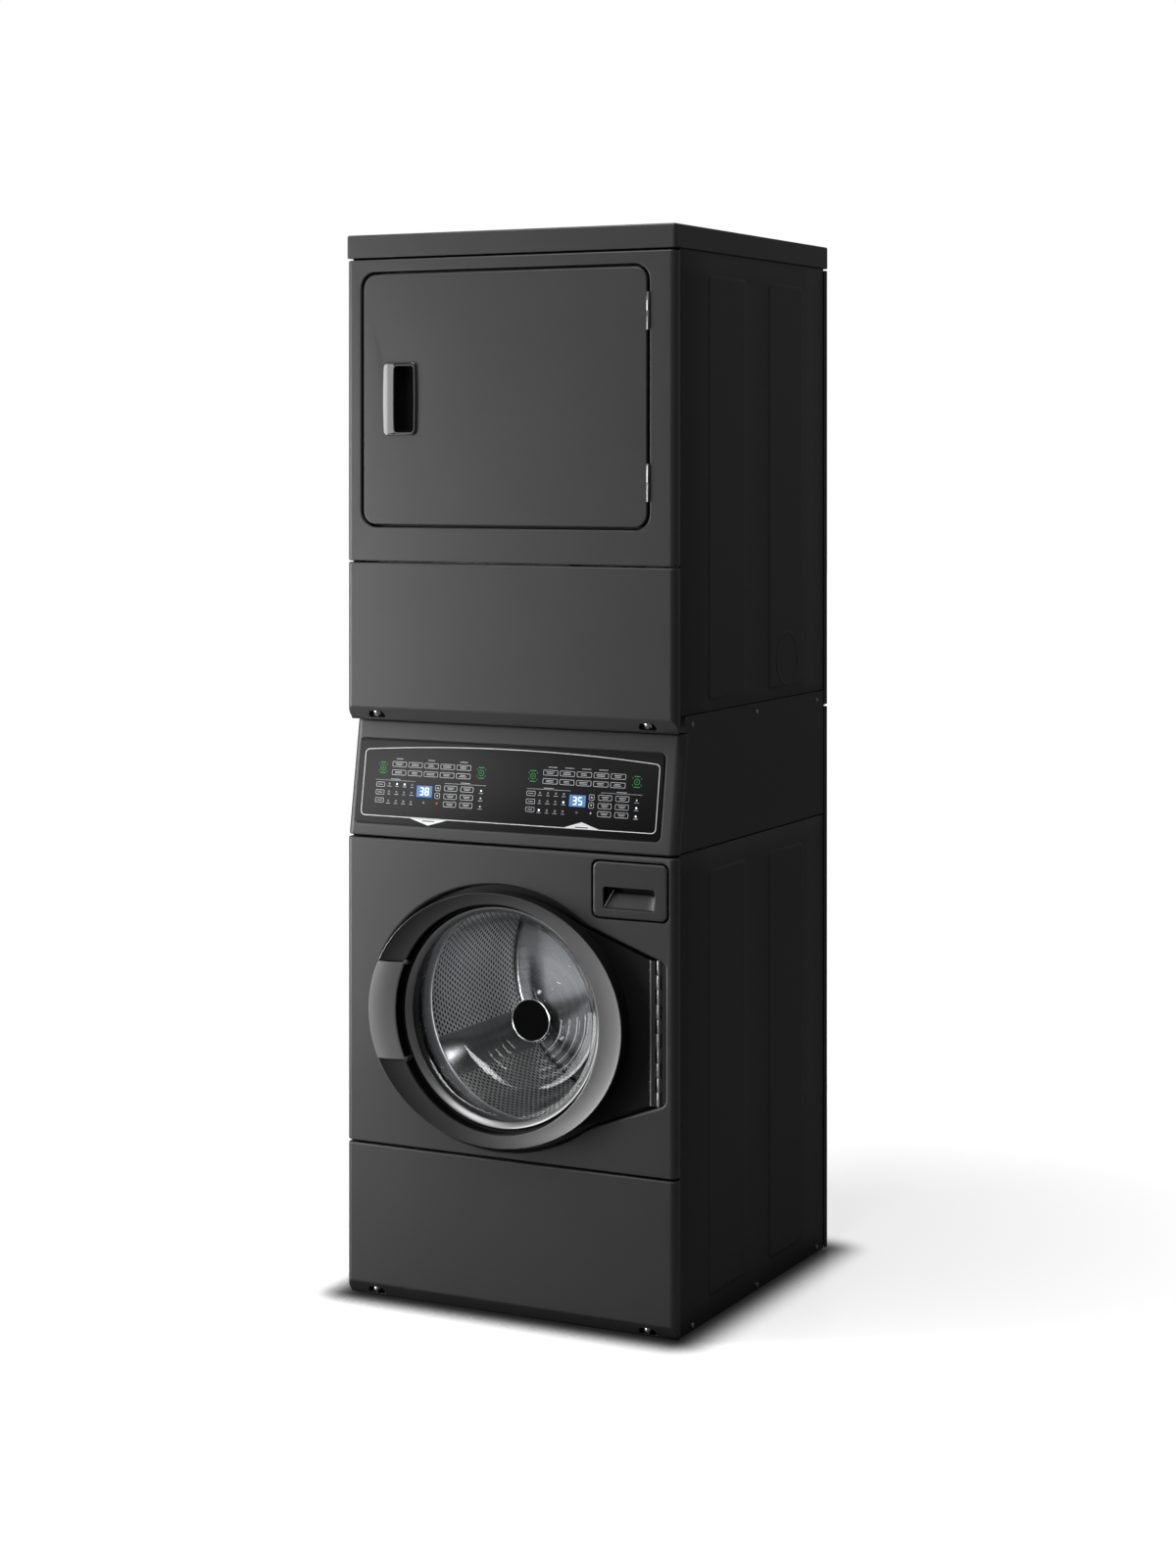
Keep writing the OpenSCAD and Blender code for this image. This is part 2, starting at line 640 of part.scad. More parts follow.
module control_boards() color([0.1, 0.3, 0.15]) on_slope() for (x = [-170, 150]) {
    box([x - 125, front + 12, 50], [x + 125, front + 13.6, 155]);
    box([x - 30, front + 4, 75], [x + 10, front + 12, 102]);
    box([x + 40, front + 13.6, 70], [x + 110, front + 30, 130]);
}

module control_housing() color(coat) {
    both_sides() yz(inner_x, sheet) polygon([[front + 22, console_z + 2], [back - 15, console_z + 2],
        [back - 15, deck_z], [front + 22 + console_lean, deck_z]]);
    box([-inner_x, front + 64, deck_z - sheet], [inner_x, back - 15, deck_z]);
}

// ---------- dryer cabinet ----------

module dryer_base() color(coat_dark) difference() {
    union() {
        box([-side_x, front + 43, deck_z], [side_x, back - 10, deck_z + sheet]);
        both_sides() box([inner_x, front + 43, deck_z], [side_x, back - 10, deck_z + rail_h]);
        box([-side_x, front + 43, deck_z], [side_x, front + 43 + sheet, deck_z + rail_h]);
        box([-side_x, back - 10 - sheet, deck_z], [side_x, back - 10, deck_z + rail_h]);
        box([idler_at[0] - 9, front + 360, deck_z], [idler_at[0] + 9, front + 363, idler_at[1] + 12]);
        rod_y([idler_at[0], front + 337, idler_at[1]], 5, 25);
        for (y = [190, 270]) box([fan_at[0] - 50, front + y, deck_z], [fan_at[0] + 50, front + y + 16, 1165]);
    }
    for (sx = [-1, 1], y = screw_y) rod_x([sx * side_x - 5, front + y, deck_z + 14], 2.2, 10);
    rod_y([fan_at[0], front + 180, fan_at[1]], 62, 120);
}

module dryer_side_right() color(coat) side_panel(dry_side_z[0], dry_side_z[1], dry_pads, 25);
module dryer_side_left() color(coat) mirror([1, 0, 0])
    side_panel(dry_side_z[0], dry_side_z[1], dry_pads, 25);

module dryer_rear_panel() color(coat) difference() {
    rear_panel(deck_z + 2, cap_z - 4);
    rod_y([exhaust_at[0], back - 5, exhaust_at[1]], exhaust_r + 2, 10);
    rod_y([-260, back - 5, 1250], 11.1, 10);
    for (i = [0:7]) xz(back - 5, 10) translate([0, 1780 + 16 * i]) rrect(260, 6, 2.9);
    for (sx = [-1, 1], z = [1120, 1520, 1900]) rod_y([sx * 325, back - 5, z], 2.2, 10);
}

module top_cap() color(coat) difference() {
    box([-edge_x - 1, front, cap_z], [edge_x + 1, back + 4, cab_h]);
    box([-edge_x - 1 + sheet, front + sheet, cap_z + sheet],
        [edge_x + 1 - sheet, back + 4 - sheet, cab_h - sheet]);
    box([-300, front + 60, cap_z - 5], [300, back - 60, cap_z + 5]);
}

module dryer_front_panel() color(coat) difference() {
    union() {
        folded_front(dry_front_z[0], dry_front_z[1]);
        xz(front, dry_dish + sheet) translate(dry_door_at)
            rrect(dry_door_size[0] + 2 * door_gap + 2 * sheet, dry_door_size[1] + 2 * door_gap + 2 * sheet,
                dry_door_r + door_gap + sheet);
    }
    xz(front - 1, dry_dish + 1) translate(dry_door_at)
        rrect(dry_door_size[0] + 2 * door_gap, dry_door_size[1] + 2 * door_gap, dry_door_r + door_gap);
    xz(front, 60) translate(dry_door_at) rrect(dry_throat[0], dry_throat[1], 60);
    box([-293, front + 20, 1664], [-276, front + 40, 1688]);
}

module dryer_lower_panel() color(coat) chamfered_front(dry_lower_z[0], dry_lower_z[1]);

// ---------- dryer works ----------

module front_bulkhead() color(zinc) {
    difference() {
        union() {
            box([-335, bulkhead_y[0], dry_side_z[0] + 6], [335, bulkhead_y[0] + sheet, cap_z - 6]);
            xz(front + dry_dish + sheet + 0.1, 32) translate(dry_door_at)
                rrect(dry_throat[0] + 2 * sheet, dry_throat[1] + 2 * sheet, 60 + sheet);
        }
        xz(front + dry_dish, 60) translate(dry_door_at) rrect(dry_throat[0], dry_throat[1], 60);
        rod_y([fan_at[0], front + 50, fan_at[1]], 45, 20);
        box([lint_x[0] + 3, front + 37, 1500], [lint_x[1] - 3, front + 57, 1530]);
    }
    rod_ring([dry_x, bulkhead_y[0] + sheet, dry_z], dryer_r - 8, dryer_r - 1.9, 20);
    difference() {
        box([lint_x[0] - 50, front + 34, 1128], [lint_x[1], bulkhead_y[0], 1514.7]);
        box([lint_x[0] - 48.5, front + 35.5, 1129.5], [lint_x[1] - 1.5, bulkhead_y[0] + 1, 1520]);
    }
}
// Ring on a Y axis between two radii
module rod_ring(at, r0, r1, h) difference() {
    rod_y(at, r1, h);
    rod_y(at - [0, 1, 0], r0, h + 2);
}

module rear_bulkhead() color(zinc) {
    difference() {
        box([-335, bulkhead_y[1], dry_side_z[0] + 6], [335, bulkhead_y[1] + 2, cap_z - 6]);
        for (r = [80, 130, 180], i = [0:11]) rod_y([dry_x + r * cos(30 * i + r), bulkhead_y[1] - 5,
            dry_z + r * sin(30 * i + r)], 9, 10);
        box([heater_x[0] + 10, bulkhead_y[1] - 5, heater_z[0] + 10],
            [heater_x[1] - 10, bulkhead_y[1] + 5, heater_z[1] - 10]);
        rod_y([exhaust_at[0], bulkhead_y[1] - 5, exhaust_at[1]], exhaust_r + 1.5, 10);
    }
    rod_ring([dry_x, bulkhead_y[1] - 16, dry_z], dryer_r - 8, dryer_r - 1.9, 16);
    for (sx = [-1, 1]) rod_y([dry_x + sx * roller_dx, bulkhead_y[1] - 50, roller_z], 8, 50);
}

module dryer_motor() color([0.35, 0.36, 0.37]) difference() {
    rod_y([fan_at[0], front + 160, fan_at[1]], 61.7, 160);
    rod_y([fan_at[0], front + 150, fan_at[1]], 6 + fit_gap, 180);
    rod_ring([fan_at[0], front + 170, fan_at[1]], 30, 57, 140);
}

module blower_housing() color(zinc) {
    difference() {
        union() {
            rod_y([fan_at[0], front + 60, fan_at[1]], 80, 80);
            box([fan_at[0], front + 60, 1128], [115, front + 140, 1236]);
            rod_y([exhaust_at[0], front + 139, exhaust_at[1]], exhaust_r - neck, cab_d - 139);
            rod_y([exhaust_at[0], back, exhaust_at[1]], exhaust_r, stub_out);
        }
        rod_y([fan_at[0], front + 62, fan_at[1]], 78, 76);
        box([fan_at[0], front + 62, 1130], [113, front + 138, 1234]);
        rod_y([exhaust_at[0], front + 130, exhaust_at[1]], exhaust_r - neck - 1, cab_d);
        rod_y([fan_at[0], front + 50, fan_at[1]], 45, 20);
        rod_y([fan_at[0], front + 130, fan_at[1]], 9, 20);
    }
}

module blower_wheel() color(black) translate([fan_at[0], front, fan_at[1]]) rotate([-90, 0, 0]) {
    translate([0, 0, 125]) cylinder(r = fan_r, h = 3);
    difference() {
        translate([0, 0, 68]) cylinder(r = fan_r, h = 3);
        translate([0, 0, 60]) cylinder(r = 50, h = 20);
    }
    for (i = [0:23]) rotate(15 * i) translate([54, -1, 70]) cube([16, 2, 56]);
    translate([0, 0, 100]) cylinder(r = 16, h = 26);
    translate([0, 0, 100]) cylinder(r = 6, h = 258);
    translate([0, 0, 338]) cylinder(r = fan_pulley_r, h = 18);
}

module idler_wheel() color(black) translate([idler_at[0], front + 339, idler_at[1]]) rotate([-90, 0, 0])
    difference() {
        cylinder(r = idler_r, h = 16);
        translate([0, 0, -1]) cylinder(r = 5 + fit_gap, h = 20);
    }

module heater_box() color(steel) {
    difference() {
        box([heater_x[0], front + 400, heater_z[0]], [heater_x[1], bulkhead_y[1] - 0.1, heater_z[1]]);
        box([heater_x[0] + 2, front + 402, heater_z[0] + 2], [heater_x[1] - 2, back, heater_z[1] - 2]);
    }
    difference() {
        box([heater_x[0], bulkhead_y[1] + 2.1, heater_z[0]], [heater_x[1], back - 12, dry_z + 200]);
        box([heater_x[0] + 2, bulkhead_y[1], heater_z[0] + 2], [heater_x[1] - 2, back - 14, dry_z + 198]);
    }
}

module roller(x) color(rubber) difference() {
    rod_y([x, bulkhead_y[1] - 45, roller_z], roller_r, 25);
    rod_y([x, bulkhead_y[1] - 50, roller_z], 8 + fit_gap, 40);
}
module roller_left() roller(dry_x - roller_dx);
module roller_right() roller(dry_x + roller_dx);

module dryer_drum() color(bright)
    rod_ring([dry_x, dry_drum_y[0], dry_z], dryer_r - sheet, dryer_r, dry_drum_y[1] - dry_drum_y[0]);

module drum_baffles() color(bright) translate([dry_x, front + 100, dry_z]) rotate([-90, 0, 0])
    for (i = [0:ribs - 1]) rotate(360 / ribs * i + 90) linear_extrude(500) difference() {
        rib_outline(dryer_r - sheet - 0.1, 45, 14, 85);
        rib_outline(dryer_r - sheet - 1.3, 43, 12.6, 83.6);
    }

module lint_filter() color([0.6, 0.6, 0.58]) difference() {
    union() {
        box([lint_x[0] + 8, front + 40, 1330], [lint_x[1] - 8, front + 54, 1512]);
        box([dry_x - 40, front + 44, 1512], [dry_x + 40, front + 50, 1522]);
    }
    for (i = [0:3]) box([lint_x[0] + 14 + 56 * i, front + 30, 1342], [lint_x[0] + 66 + 56 * i, front + 60, 1500]);
}

// ---------- dryer door ----------

module dryer_door_panel() color(coat) difference() {
    xz(front, 18) translate(dry_door_at) rrect(dry_door_size[0], dry_door_size[1], dry_door_r);
    xz(front + sheet, 20) translate(dry_door_at)
        rrect(dry_door_size[0] - 2 * sheet, dry_door_size[1] - 2 * sheet, dry_door_r - sheet);
    xz(front - 5, 10) translate(dry_handle_at) rrect(dry_handle_size[0] - 5, dry_handle_size[1] - 5, 6);
}

module dryer_door_liner() color(coat_dark) {
    difference() {
        union() {
            xz(front + 16.4, sheet) translate(dry_door_at)
                rrect(dry_door_size[0] - 2 * sheet - 0.2, dry_door_size[1] - 2 * sheet - 0.2,
                    dry_door_r - sheet - 0.1);
            xz(front + 17, 17) translate(dry_door_at) rrect(plug[0], plug[1], 50);
        }
        xz(front + 10, 22.5) translate(dry_door_at) rrect(plug[0] - 2 * sheet, plug[1] - 2 * sheet, 50 - sheet);
    }
    xz(front + 18, 5) translate(dry_door_at) difference() {
        rrect(dry_throat[0] + 40, dry_throat[1] + 40, 70);
        rrect(dry_throat[0] + 16, dry_throat[1] + 16, 62);
    }
}

module dryer_door_handle() color(black) difference() {
    union() {
        xz(front - 4, 4) translate(dry_handle_at) rrect(dry_handle_size[0], dry_handle_size[1], 9);
        xz(front - 1, 16.5) translate(dry_handle_at) rrect(dry_handle_size[0] - 6, dry_handle_size[1] - 6, 6);
    }
    xz(front - 5, 18.5) translate([-217.5, 1676.3]) rrect(46, 125, 6);
}

module dryer_door_hardware() color(bright) {
    for (k = dry_knuckles) {
        mid = (k[0] + k[1]) / 2;
        difference() {
            union() {
                rod_z([dry_hinge[0], dry_hinge[1], mid + 0.3], dry_knuckle_r, k[1] - mid - 0.3);
                box([dry_hinge[0] - 2.7, front - 1, mid + 0.3], [dry_hinge[0] - 1.7, front + 14, k[1]]);
            }
            rod_z([dry_hinge[0], dry_hinge[1], mid - 5], 1.2 + fit_gap, 60);
        }
    }
    box([-287, front + 18, 1668], [-283, front + 42, 1684]);
    box([-289, front + 37, 1668], [-281, front + 42, 1684]);
}

// ---------- fasteners ----------

module panel_screws() color(zinc) {
    for (z0 = [lower_z[0], dry_lower_z[0]], sx = [-1, 1]) dimple_axis(sx, z0) screw();
    for (sx = [-1, 1], y = screw_y) {
        translate([sx * side_x, front + y, 15]) rotate([0, sx * 90, 0]) screw();
        translate([sx * side_x, front + y, deck_z + 14]) rotate([0, sx * 90, 0]) screw();
    }
    for (sx = [-1, 1], z = [60, 460, 840, 1120, 1520, 1900])
        translate([sx * 325, back, z]) rotate([-90, 0, 0]) screw();
}

washer_base();
levelling_feet();
washer_side_left();
washer_side_right();
washer_rear_panel();
washer_front_panel();
washer_lower_panel();
washer_tub();
door_gasket();
counterweights();
tub_suspension();
washer_motor();
drain_pump();
hose_connectors();
dispenser_housing();
door_catches();
drive_belts();
control_housing();
console();
control_overlay();
control_boards();
hinge_frames();
panel_screws();
dryer_base();
dryer_side_left();
dryer_side_right();
dryer_rear_panel();
top_cap();
dryer_front_panel();
dryer_lower_panel();
front_bulkhead();
rear_bulkhead();
dryer_motor();
blower_housing();
heater_box();
washer_door_ring();
washer_door_handle();
washer_door_trim();
washer_door_glass();
washer_door_frame();
washer_door_hardware();
dispenser_drawer();
dispenser_front();
washer_drum();
drum_lifters();
drum_spider();
drum_pulley();
motor_pulley();
pump_impeller();
dryer_door_panel();
dryer_door_liner();
dryer_door_handle();
dryer_door_hardware();
dryer_drum();
drum_baffles();
roller_left();
roller_right();
blower_wheel();
idler_wheel();
lint_filter();
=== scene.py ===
import json
import math

import bmesh
import bpy
from mathutils import Matrix, Vector
from mathutils.geometry import delaunay_2d_cdt

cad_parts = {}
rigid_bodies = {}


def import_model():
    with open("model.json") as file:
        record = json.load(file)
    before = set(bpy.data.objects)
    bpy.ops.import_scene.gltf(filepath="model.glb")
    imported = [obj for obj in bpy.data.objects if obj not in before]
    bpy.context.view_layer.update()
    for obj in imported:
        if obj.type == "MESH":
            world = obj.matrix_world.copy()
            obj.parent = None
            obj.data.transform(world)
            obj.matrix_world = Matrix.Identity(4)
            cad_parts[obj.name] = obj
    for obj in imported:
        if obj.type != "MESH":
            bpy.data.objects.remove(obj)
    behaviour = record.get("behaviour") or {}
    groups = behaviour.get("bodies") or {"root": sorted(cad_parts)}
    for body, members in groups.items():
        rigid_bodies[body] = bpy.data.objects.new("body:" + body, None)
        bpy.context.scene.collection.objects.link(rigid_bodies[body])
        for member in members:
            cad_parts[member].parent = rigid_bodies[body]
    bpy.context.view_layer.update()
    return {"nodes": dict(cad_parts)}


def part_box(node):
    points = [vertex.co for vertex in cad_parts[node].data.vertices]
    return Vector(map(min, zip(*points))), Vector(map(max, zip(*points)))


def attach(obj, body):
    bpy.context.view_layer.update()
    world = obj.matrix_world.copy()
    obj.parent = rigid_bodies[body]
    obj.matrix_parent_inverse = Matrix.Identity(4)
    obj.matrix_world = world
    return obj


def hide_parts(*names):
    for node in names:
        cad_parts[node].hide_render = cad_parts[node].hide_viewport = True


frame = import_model()

MM = 0.001
NODES = frame["nodes"]


def low(node):
    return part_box(node)[0] / MM


def high(node):
    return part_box(node)[1] / MM


def middle(node):
    return (low(node) + high(node)) / 2


# ---------- driving places, in millimetres, from the frame ----------

FRONT = low("washer_lower_panel").y        # front plane of the panels
EDGE_X = high("washer_front_panel").x      # outside of the folded fronts
SIDE_X = EDGE_X - 1.5                      # outside of the flat side sheets
DOOR = middle("washer_door_trim")          # a point on the washer door's axis
RING_A = high("washer_door_ring").x - DOOR.x     # half width of the door ring
RING_B = high("washer_door_ring").z - DOOR.z     # half height of the door ring
RING_IN = high("washer_door_trim").x - DOOR.x + 4.5
HINGE_X = 306.0                            # pin of the washer door
DRYER_HINGE_X = 287.9                      # pin of the dryer door
SHEET = 1.2                                # thickness shown on folded sheet
SCREW_X = 281.5                            # screws of the lower fronts, from the middle
KNOCKOUT_Y, KNOCKOUT_Z = 498, 1182         # side exhaust knock-out: behind the front, above the floor


# ---------- camera ----------

def make_camera():
    """The photograph's view."""
    cam = bpy.data.cameras.new("camera")
    cam.sensor_width = 36
    cam.lens = 66.607
    cam.shift_y = -0.2115
    cam.clip_end = 60
    obj = bpy.data.objects.new("camera", cam)
    bpy.context.scene.collection.objects.link(obj)
    obj.location = (2.5459, -4.9862, 1.5776)
    obj.rotation_euler = (math.radians(90), 0, math.radians(27.167))
    bpy.context.scene.camera = obj


# ---------- materials ----------

def new_material(name):
    """A node material, its tree, its main shader and the object coordinates."""
    mat = bpy.data.materials.new(name)
    mat.use_nodes = True
    tree = mat.node_tree
    shader = tree.nodes["Principled BSDF"]
    coords = tree.nodes.new("ShaderNodeTexCoord")
    return mat, tree, shader, coords.outputs["Object"]


def noise(tree, vector, scale, detail=3.0, stretch=None):
    if stretch is not None:
        mapping = tree.nodes.new("ShaderNodeMapping")
        mapping.inputs["Scale"].default_value = stretch
        tree.links.new(vector, mapping.inputs["Vector"])
        vector = mapping.outputs["Vector"]
    node = tree.nodes.new("ShaderNodeTexNoise")
    node.inputs["Scale"].default_value = scale
    node.inputs["Detail"].default_value = detail
    tree.links.new(vector, node.inputs["Vector"])
    return node.outputs["Fac"]


def two_tone(tree, value, first, second):
    node = tree.nodes.new("ShaderNodeValToRGB")
    node.color_ramp.elements[0].position = 0.3
    node.color_ramp.elements[0].color = (*first, 1)
    node.color_ramp.elements[1].position = 0.7
    node.color_ramp.elements[1].color = (*second, 1)
    tree.links.new(value, node.inputs["Fac"])
    return node.outputs["Color"]


def bump(tree, shader, height, strength, distance):
    node = tree.nodes.new("ShaderNodeBump")
    node.inputs["Strength"].default_value = strength
    node.inputs["Distance"].default_value = distance
    tree.links.new(height, node.inputs["Height"])
    tree.links.new(node.outputs["Normal"], shader.inputs["Normal"])


def worked(tree, operation, *values, vector=False, result="Value"):
    """Output of a math node whose inputs are sockets or plain values."""
    node = tree.nodes.new("ShaderNodeVectorMath" if vector else "ShaderNodeMath")
    node.operation = operation
    for socket, value in zip(node.inputs, values):
        if isinstance(value, bpy.types.NodeSocket):
            tree.links.new(value, socket)
        else:
            socket.default_value = value
    return node.outputs[result]


def ranged(tree, value, to_min, to_max, from_min=0.0, from_max=1.0, blend="LINEAR"):
    """Output of a map-range node fed with a socket."""
    node = tree.nodes.new("ShaderNodeMapRange")
    node.interpolation_type = blend
    for name, number in (("From Min", from_min), ("From Max", from_max), ("To Min", to_min),
                         ("To Max", to_max)):
        node.inputs[name].default_value = number
    tree.links.new(value, node.inputs["Value"])
    return node.outputs["Result"]


def surface(name, colour, rough, metal=0.0, grain=900, depth=0.00005, vary=0.12, stretch=None,
            coat=0.0, patch=6.0, specular=0.5):
    """A coated, moulded or ground surface: patchy colour and roughness, and a fine relief."""
    mat, tree, shader, coords = new_material(name)
    cloud = noise(tree, coords, patch, 4.0)
    first = [c * (1 - vary) for c in colour]
    second = [min(1.0, c * (1 + vary)) for c in colour]
    tree.links.new(two_tone(tree, cloud, first, second), shader.inputs["Base Color"])
    fine = noise(tree, coords, grain, 2.0, stretch)
    tree.links.new(ranged(tree, fine, rough * 0.92, rough * 1.08, 0.3, 0.7), shader.inputs["Roughness"])
    bump(tree, shader, fine, 1.0, depth)
    shader.inputs["Metallic"].default_value = metal
    shader.inputs["Coat Weight"].default_value = coat
    shader.inputs["Coat Roughness"].default_value = 0.12
    shader.inputs["Specular IOR Level"].default_value = specular
    return mat


def glass_material(name):
    """Clear straight through, and more of a mirror the flatter it is seen."""
    mat, tree, shader, coords = new_material(name)
    tree.nodes.remove(shader)
    output = tree.nodes["Material Output"]
    clear = tree.nodes.new("ShaderNodeBsdfTransparent")
    clear.inputs["Color"].default_value = (0.93, 0.94, 0.945, 1)
    gloss = tree.nodes.new("ShaderNodeBsdfGlossy")
    gloss.inputs["Roughness"].default_value = 0.03
    facing = tree.nodes.new("ShaderNodeLayerWeight")
    facing.inputs["Blend"].default_value = 0.5
    mirror = ranged(tree, worked(tree, "POWER", facing.outputs["Facing"], 4.0), 0.035, 0.8)
    bump(tree, gloss, noise(tree, coords, 14, 1.0), 0.3, 0.0001)
    mix = tree.nodes.new("ShaderNodeMixShader")
    tree.links.new(mirror, mix.inputs["Fac"])
    tree.links.new(clear.outputs["BSDF"], mix.inputs[1])
    tree.links.new(gloss.outputs["BSDF"], mix.inputs[2])
    tree.links.new(mix.outputs["Shader"], output.inputs["Surface"])
    return mat


def hinge_finish(name, pins, reach):
    """Dark painted leaves, with bare bright metal within reach of either hinge pin."""
    mat = surface(name, (0.02, 0.02, 0.021), 0.3, 0.3, grain=600, depth=0.00003)
    tree = mat.node_tree
    shader = tree.nodes["Principled BSDF"]
    coords = tree.nodes.new("ShaderNodeTexCoord")
    parts = tree.nodes.new("ShaderNodeSeparateXYZ")
    tree.links.new(coords.outputs["Object"], parts.inputs["Vector"])
    near = worked(tree, "MAXIMUM",
                  *[worked(tree, "COMPARE", parts.outputs["X"], pin * MM, reach * MM) for pin in pins])
    mix = tree.nodes.new("ShaderNodeMix")
    mix.data_type = "RGBA"
    base = shader.inputs["Base Color"].links[0].from_socket
    tree.links.new(near, mix.inputs["Factor"])
    tree.links.new(base, mix.inputs[6])
    mix.inputs[7].default_value = (0.4, 0.4, 0.41, 1)
    tree.links.new(mix.outputs[2], shader.inputs["Base Color"])
    tree.links.new(near, shader.inputs["Metallic"])
    return mat


def glowing(name, colour, strength):
    """Lit display colour, a little uneven."""
    mat, tree, shader, coords = new_material(name)
    cloud = noise(tree, coords, 160, 2.0)
    dim = [c * 0.82 for c in colour]
    tree.links.new(two_tone(tree, cloud, dim, colour), shader.inputs["Emission Color"])
    shader.inputs["Emission Strength"].default_value = strength
    shader.inputs["Base Color"].default_value = (*dim, 1)
    shader.inputs["Roughness"].default_value = 0.4
    return mat


COAT = surface("graphite_coat", (0.05, 0.0495, 0.049), 0.42, 0.2, grain=1400, depth=0.00003, vary=0.04)
# Painted shade: the same graphite paint as the fronts, given a darker colour so the sides, rear panels and
# housings look shaded.
SIDE_SHADED_COAT = surface("graphite_coat_side", (0.03, 0.03, 0.031), 0.46, 0.2, grain=1400, depth=0.00003,
                    vary=0.05)
DOOR_PLASTIC = surface("door_plastic", (0.012, 0.012, 0.0125), 0.44, specular=0.15, grain=1800,
                       depth=0.00002,
                       vary=0.04)
# Pale grey plastic for the door's grip and the dryer pull's lip; on the dispenser rib the pale colour is a
# painted highlight.
PALE_PLASTIC_AND_HIGHLIGHT = surface("grip_plastic", (0.18, 0.18, 0.184), 0.55, specular=0.1, grain=1800, depth=0.00002,
               vary=0.03)
WING = surface("wing_plastic", (0.012, 0.012, 0.0125), 0.6, specular=0.12, grain=1800, depth=0.00002,
               vary=0.04)
DISPENSER_PLASTIC = surface("dispenser_plastic", (0.045, 0.045, 0.046), 0.33, grain=1800, depth=0.00002,
                            vary=0.04)
GLOSS = surface("gloss_black", (0.02, 0.02, 0.021), 0.2, grain=300, depth=0.00001, coat=0.6)
MATT = surface("matt_black", (0.012, 0.012, 0.012), 0.6, grain=1100, depth=0.00008)
RUBBER = surface("black_rubber", (0.005, 0.005, 0.005), 0.75, grain=500, depth=0.0001, specular=0.15)
STEEL = surface("brushed_steel", (0.52, 0.52, 0.53), 0.26, 1.0, grain=420, depth=0.00003,
                stretch=(1.0, 0.04, 1.0), vary=0.1)
DRUM = surface("drum_steel", (0.78, 0.78, 0.79), 0.38, 1.0, grain=240, depth=0.00004,
               stretch=(1.0, 0.08, 1.0))
# Painted shade: a darker copy of the drum steel for the lifters and the front lip, dimming their
# highlights.
LIFTER_SHADED_STEEL = surface("lifter_steel", (0.2, 0.2, 0.203), 0.5, 1.0, grain=240, depth=0.00004, vary=0.1)
# Painted shade: a darker copy of the drum steel for the drum's back.
BACK_SHADED_STEEL = surface("back_steel", (0.13, 0.13, 0.133), 0.24, 1.0, grain=200, depth=0.00003, vary=0.08)
CHROME = surface("bright_trim", (0.62, 0.63, 0.64), 0.22, 1.0, grain=600, depth=0.00002, vary=0.05)
CLAMP = surface("clamp_ring_steel", (0.3, 0.3, 0.305), 0.42, 1.0, grain=420, depth=0.00003, vary=0.1)
ZINC = surface("zinc_plate", (0.42, 0.43, 0.44), 0.4, 0.9, grain=60, depth=0.00004, vary=0.25, patch=30)
TUB = surface("tub_plastic", (0.035, 0.036, 0.038), 0.6, grain=500, depth=0.0001)
IRON = surface("cast_ballast", (0.2, 0.2, 0.195), 0.8, grain=160, depth=0.0006, vary=0.25, patch=30)
MOTOR = surface("motor_paint", (0.08, 0.085, 0.09), 0.45, 0.3, grain=300, depth=0.0001)
BOARD = surface("circuit_board", (0.02, 0.09, 0.045), 0.45, grain=400, depth=0.0001, vary=0.3, patch=60)
FITTING = surface("moulded_fitting", (0.05, 0.08, 0.16), 0.45, grain=500, depth=0.0001)
FILM = surface("overlay_film", (0.008, 0.008, 0.009), 0.5, grain=1600, depth=0.00002, vary=0.03,
               specular=0.15)
LEAF = hinge_finish("hinge_steel", (HINGE_X, DRYER_HINGE_X), 3.7)
# Near-black matt with almost no gloss: the bowl's centre disc and the ring's sleeve, and painted shade in
# the kick dimples, dispenser pocket and dryer pull's pocket.
DEEP_BLACK_AND_SHADE = surface("hub_black", (0.003, 0.003, 0.003), 0.9, grain=500, depth=0.00003, specular=0.05)
WHITE_INK = surface("white_ink", (0.9, 0.91, 0.92), 0.6, grain=900, depth=0.00001, vary=0.04, specular=0.2)
GREY_INK = surface("grey_ink", (0.7, 0.71, 0.72), 0.6, grain=900, depth=0.00001, vary=0.06, specular=0.2)
GREEN_INK = surface("green_ink", (0.05, 0.55, 0.12), 0.6, grain=900, depth=0.00001, vary=0.06, specular=0.2)
GLASS = glass_material("bowl_glass")
BLUE_GLOW = glowing("display_blue", (0.075, 0.19, 0.46), 0.6)
WHITE_GLOW = glowing("display_digits", (0.75, 0.88, 1.0), 1.5)
RED_GLOW = glowing("red_lamp", (0.8, 0.03, 0.02), 1.0)


# ---------- meshes ----------

def piece(name, shape, mat, body, replaces=(), smooth=True, weld=0.0):
    """A mesh object from a shape in millimetres of the model's frame, riding on a body."""
    mesh = bpy.data.meshes.new(name)
    mesh.from_pydata([Vector(v) * MM for v in shape.verts], [], shape.faces)
    bm = bmesh.new()
    bm.from_mesh(mesh)
    if weld:
        bmesh.ops.remove_doubles(bm, verts=bm.verts, dist=weld * MM)
    bmesh.ops.recalc_face_normals(bm, faces=bm.faces)
    bm.to_mesh(mesh)
    bm.free()
    for p in mesh.polygons:
        p.use_smooth = smooth
    obj = bpy.data.objects.new(name, mesh)
    bpy.context.scene.collection.objects.link(obj)
    mesh.materials.append(mat)
    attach(obj, body)
    if replaces:
        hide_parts(*replaces)
    return obj


def solidify(obj, thickness, offset=-1, even=True):
    mod = obj.modifiers.new("sheet", "SOLIDIFY")
    mod.thickness = thickness * MM
    mod.offset = offset
    mod.use_even_offset = even
    return mod


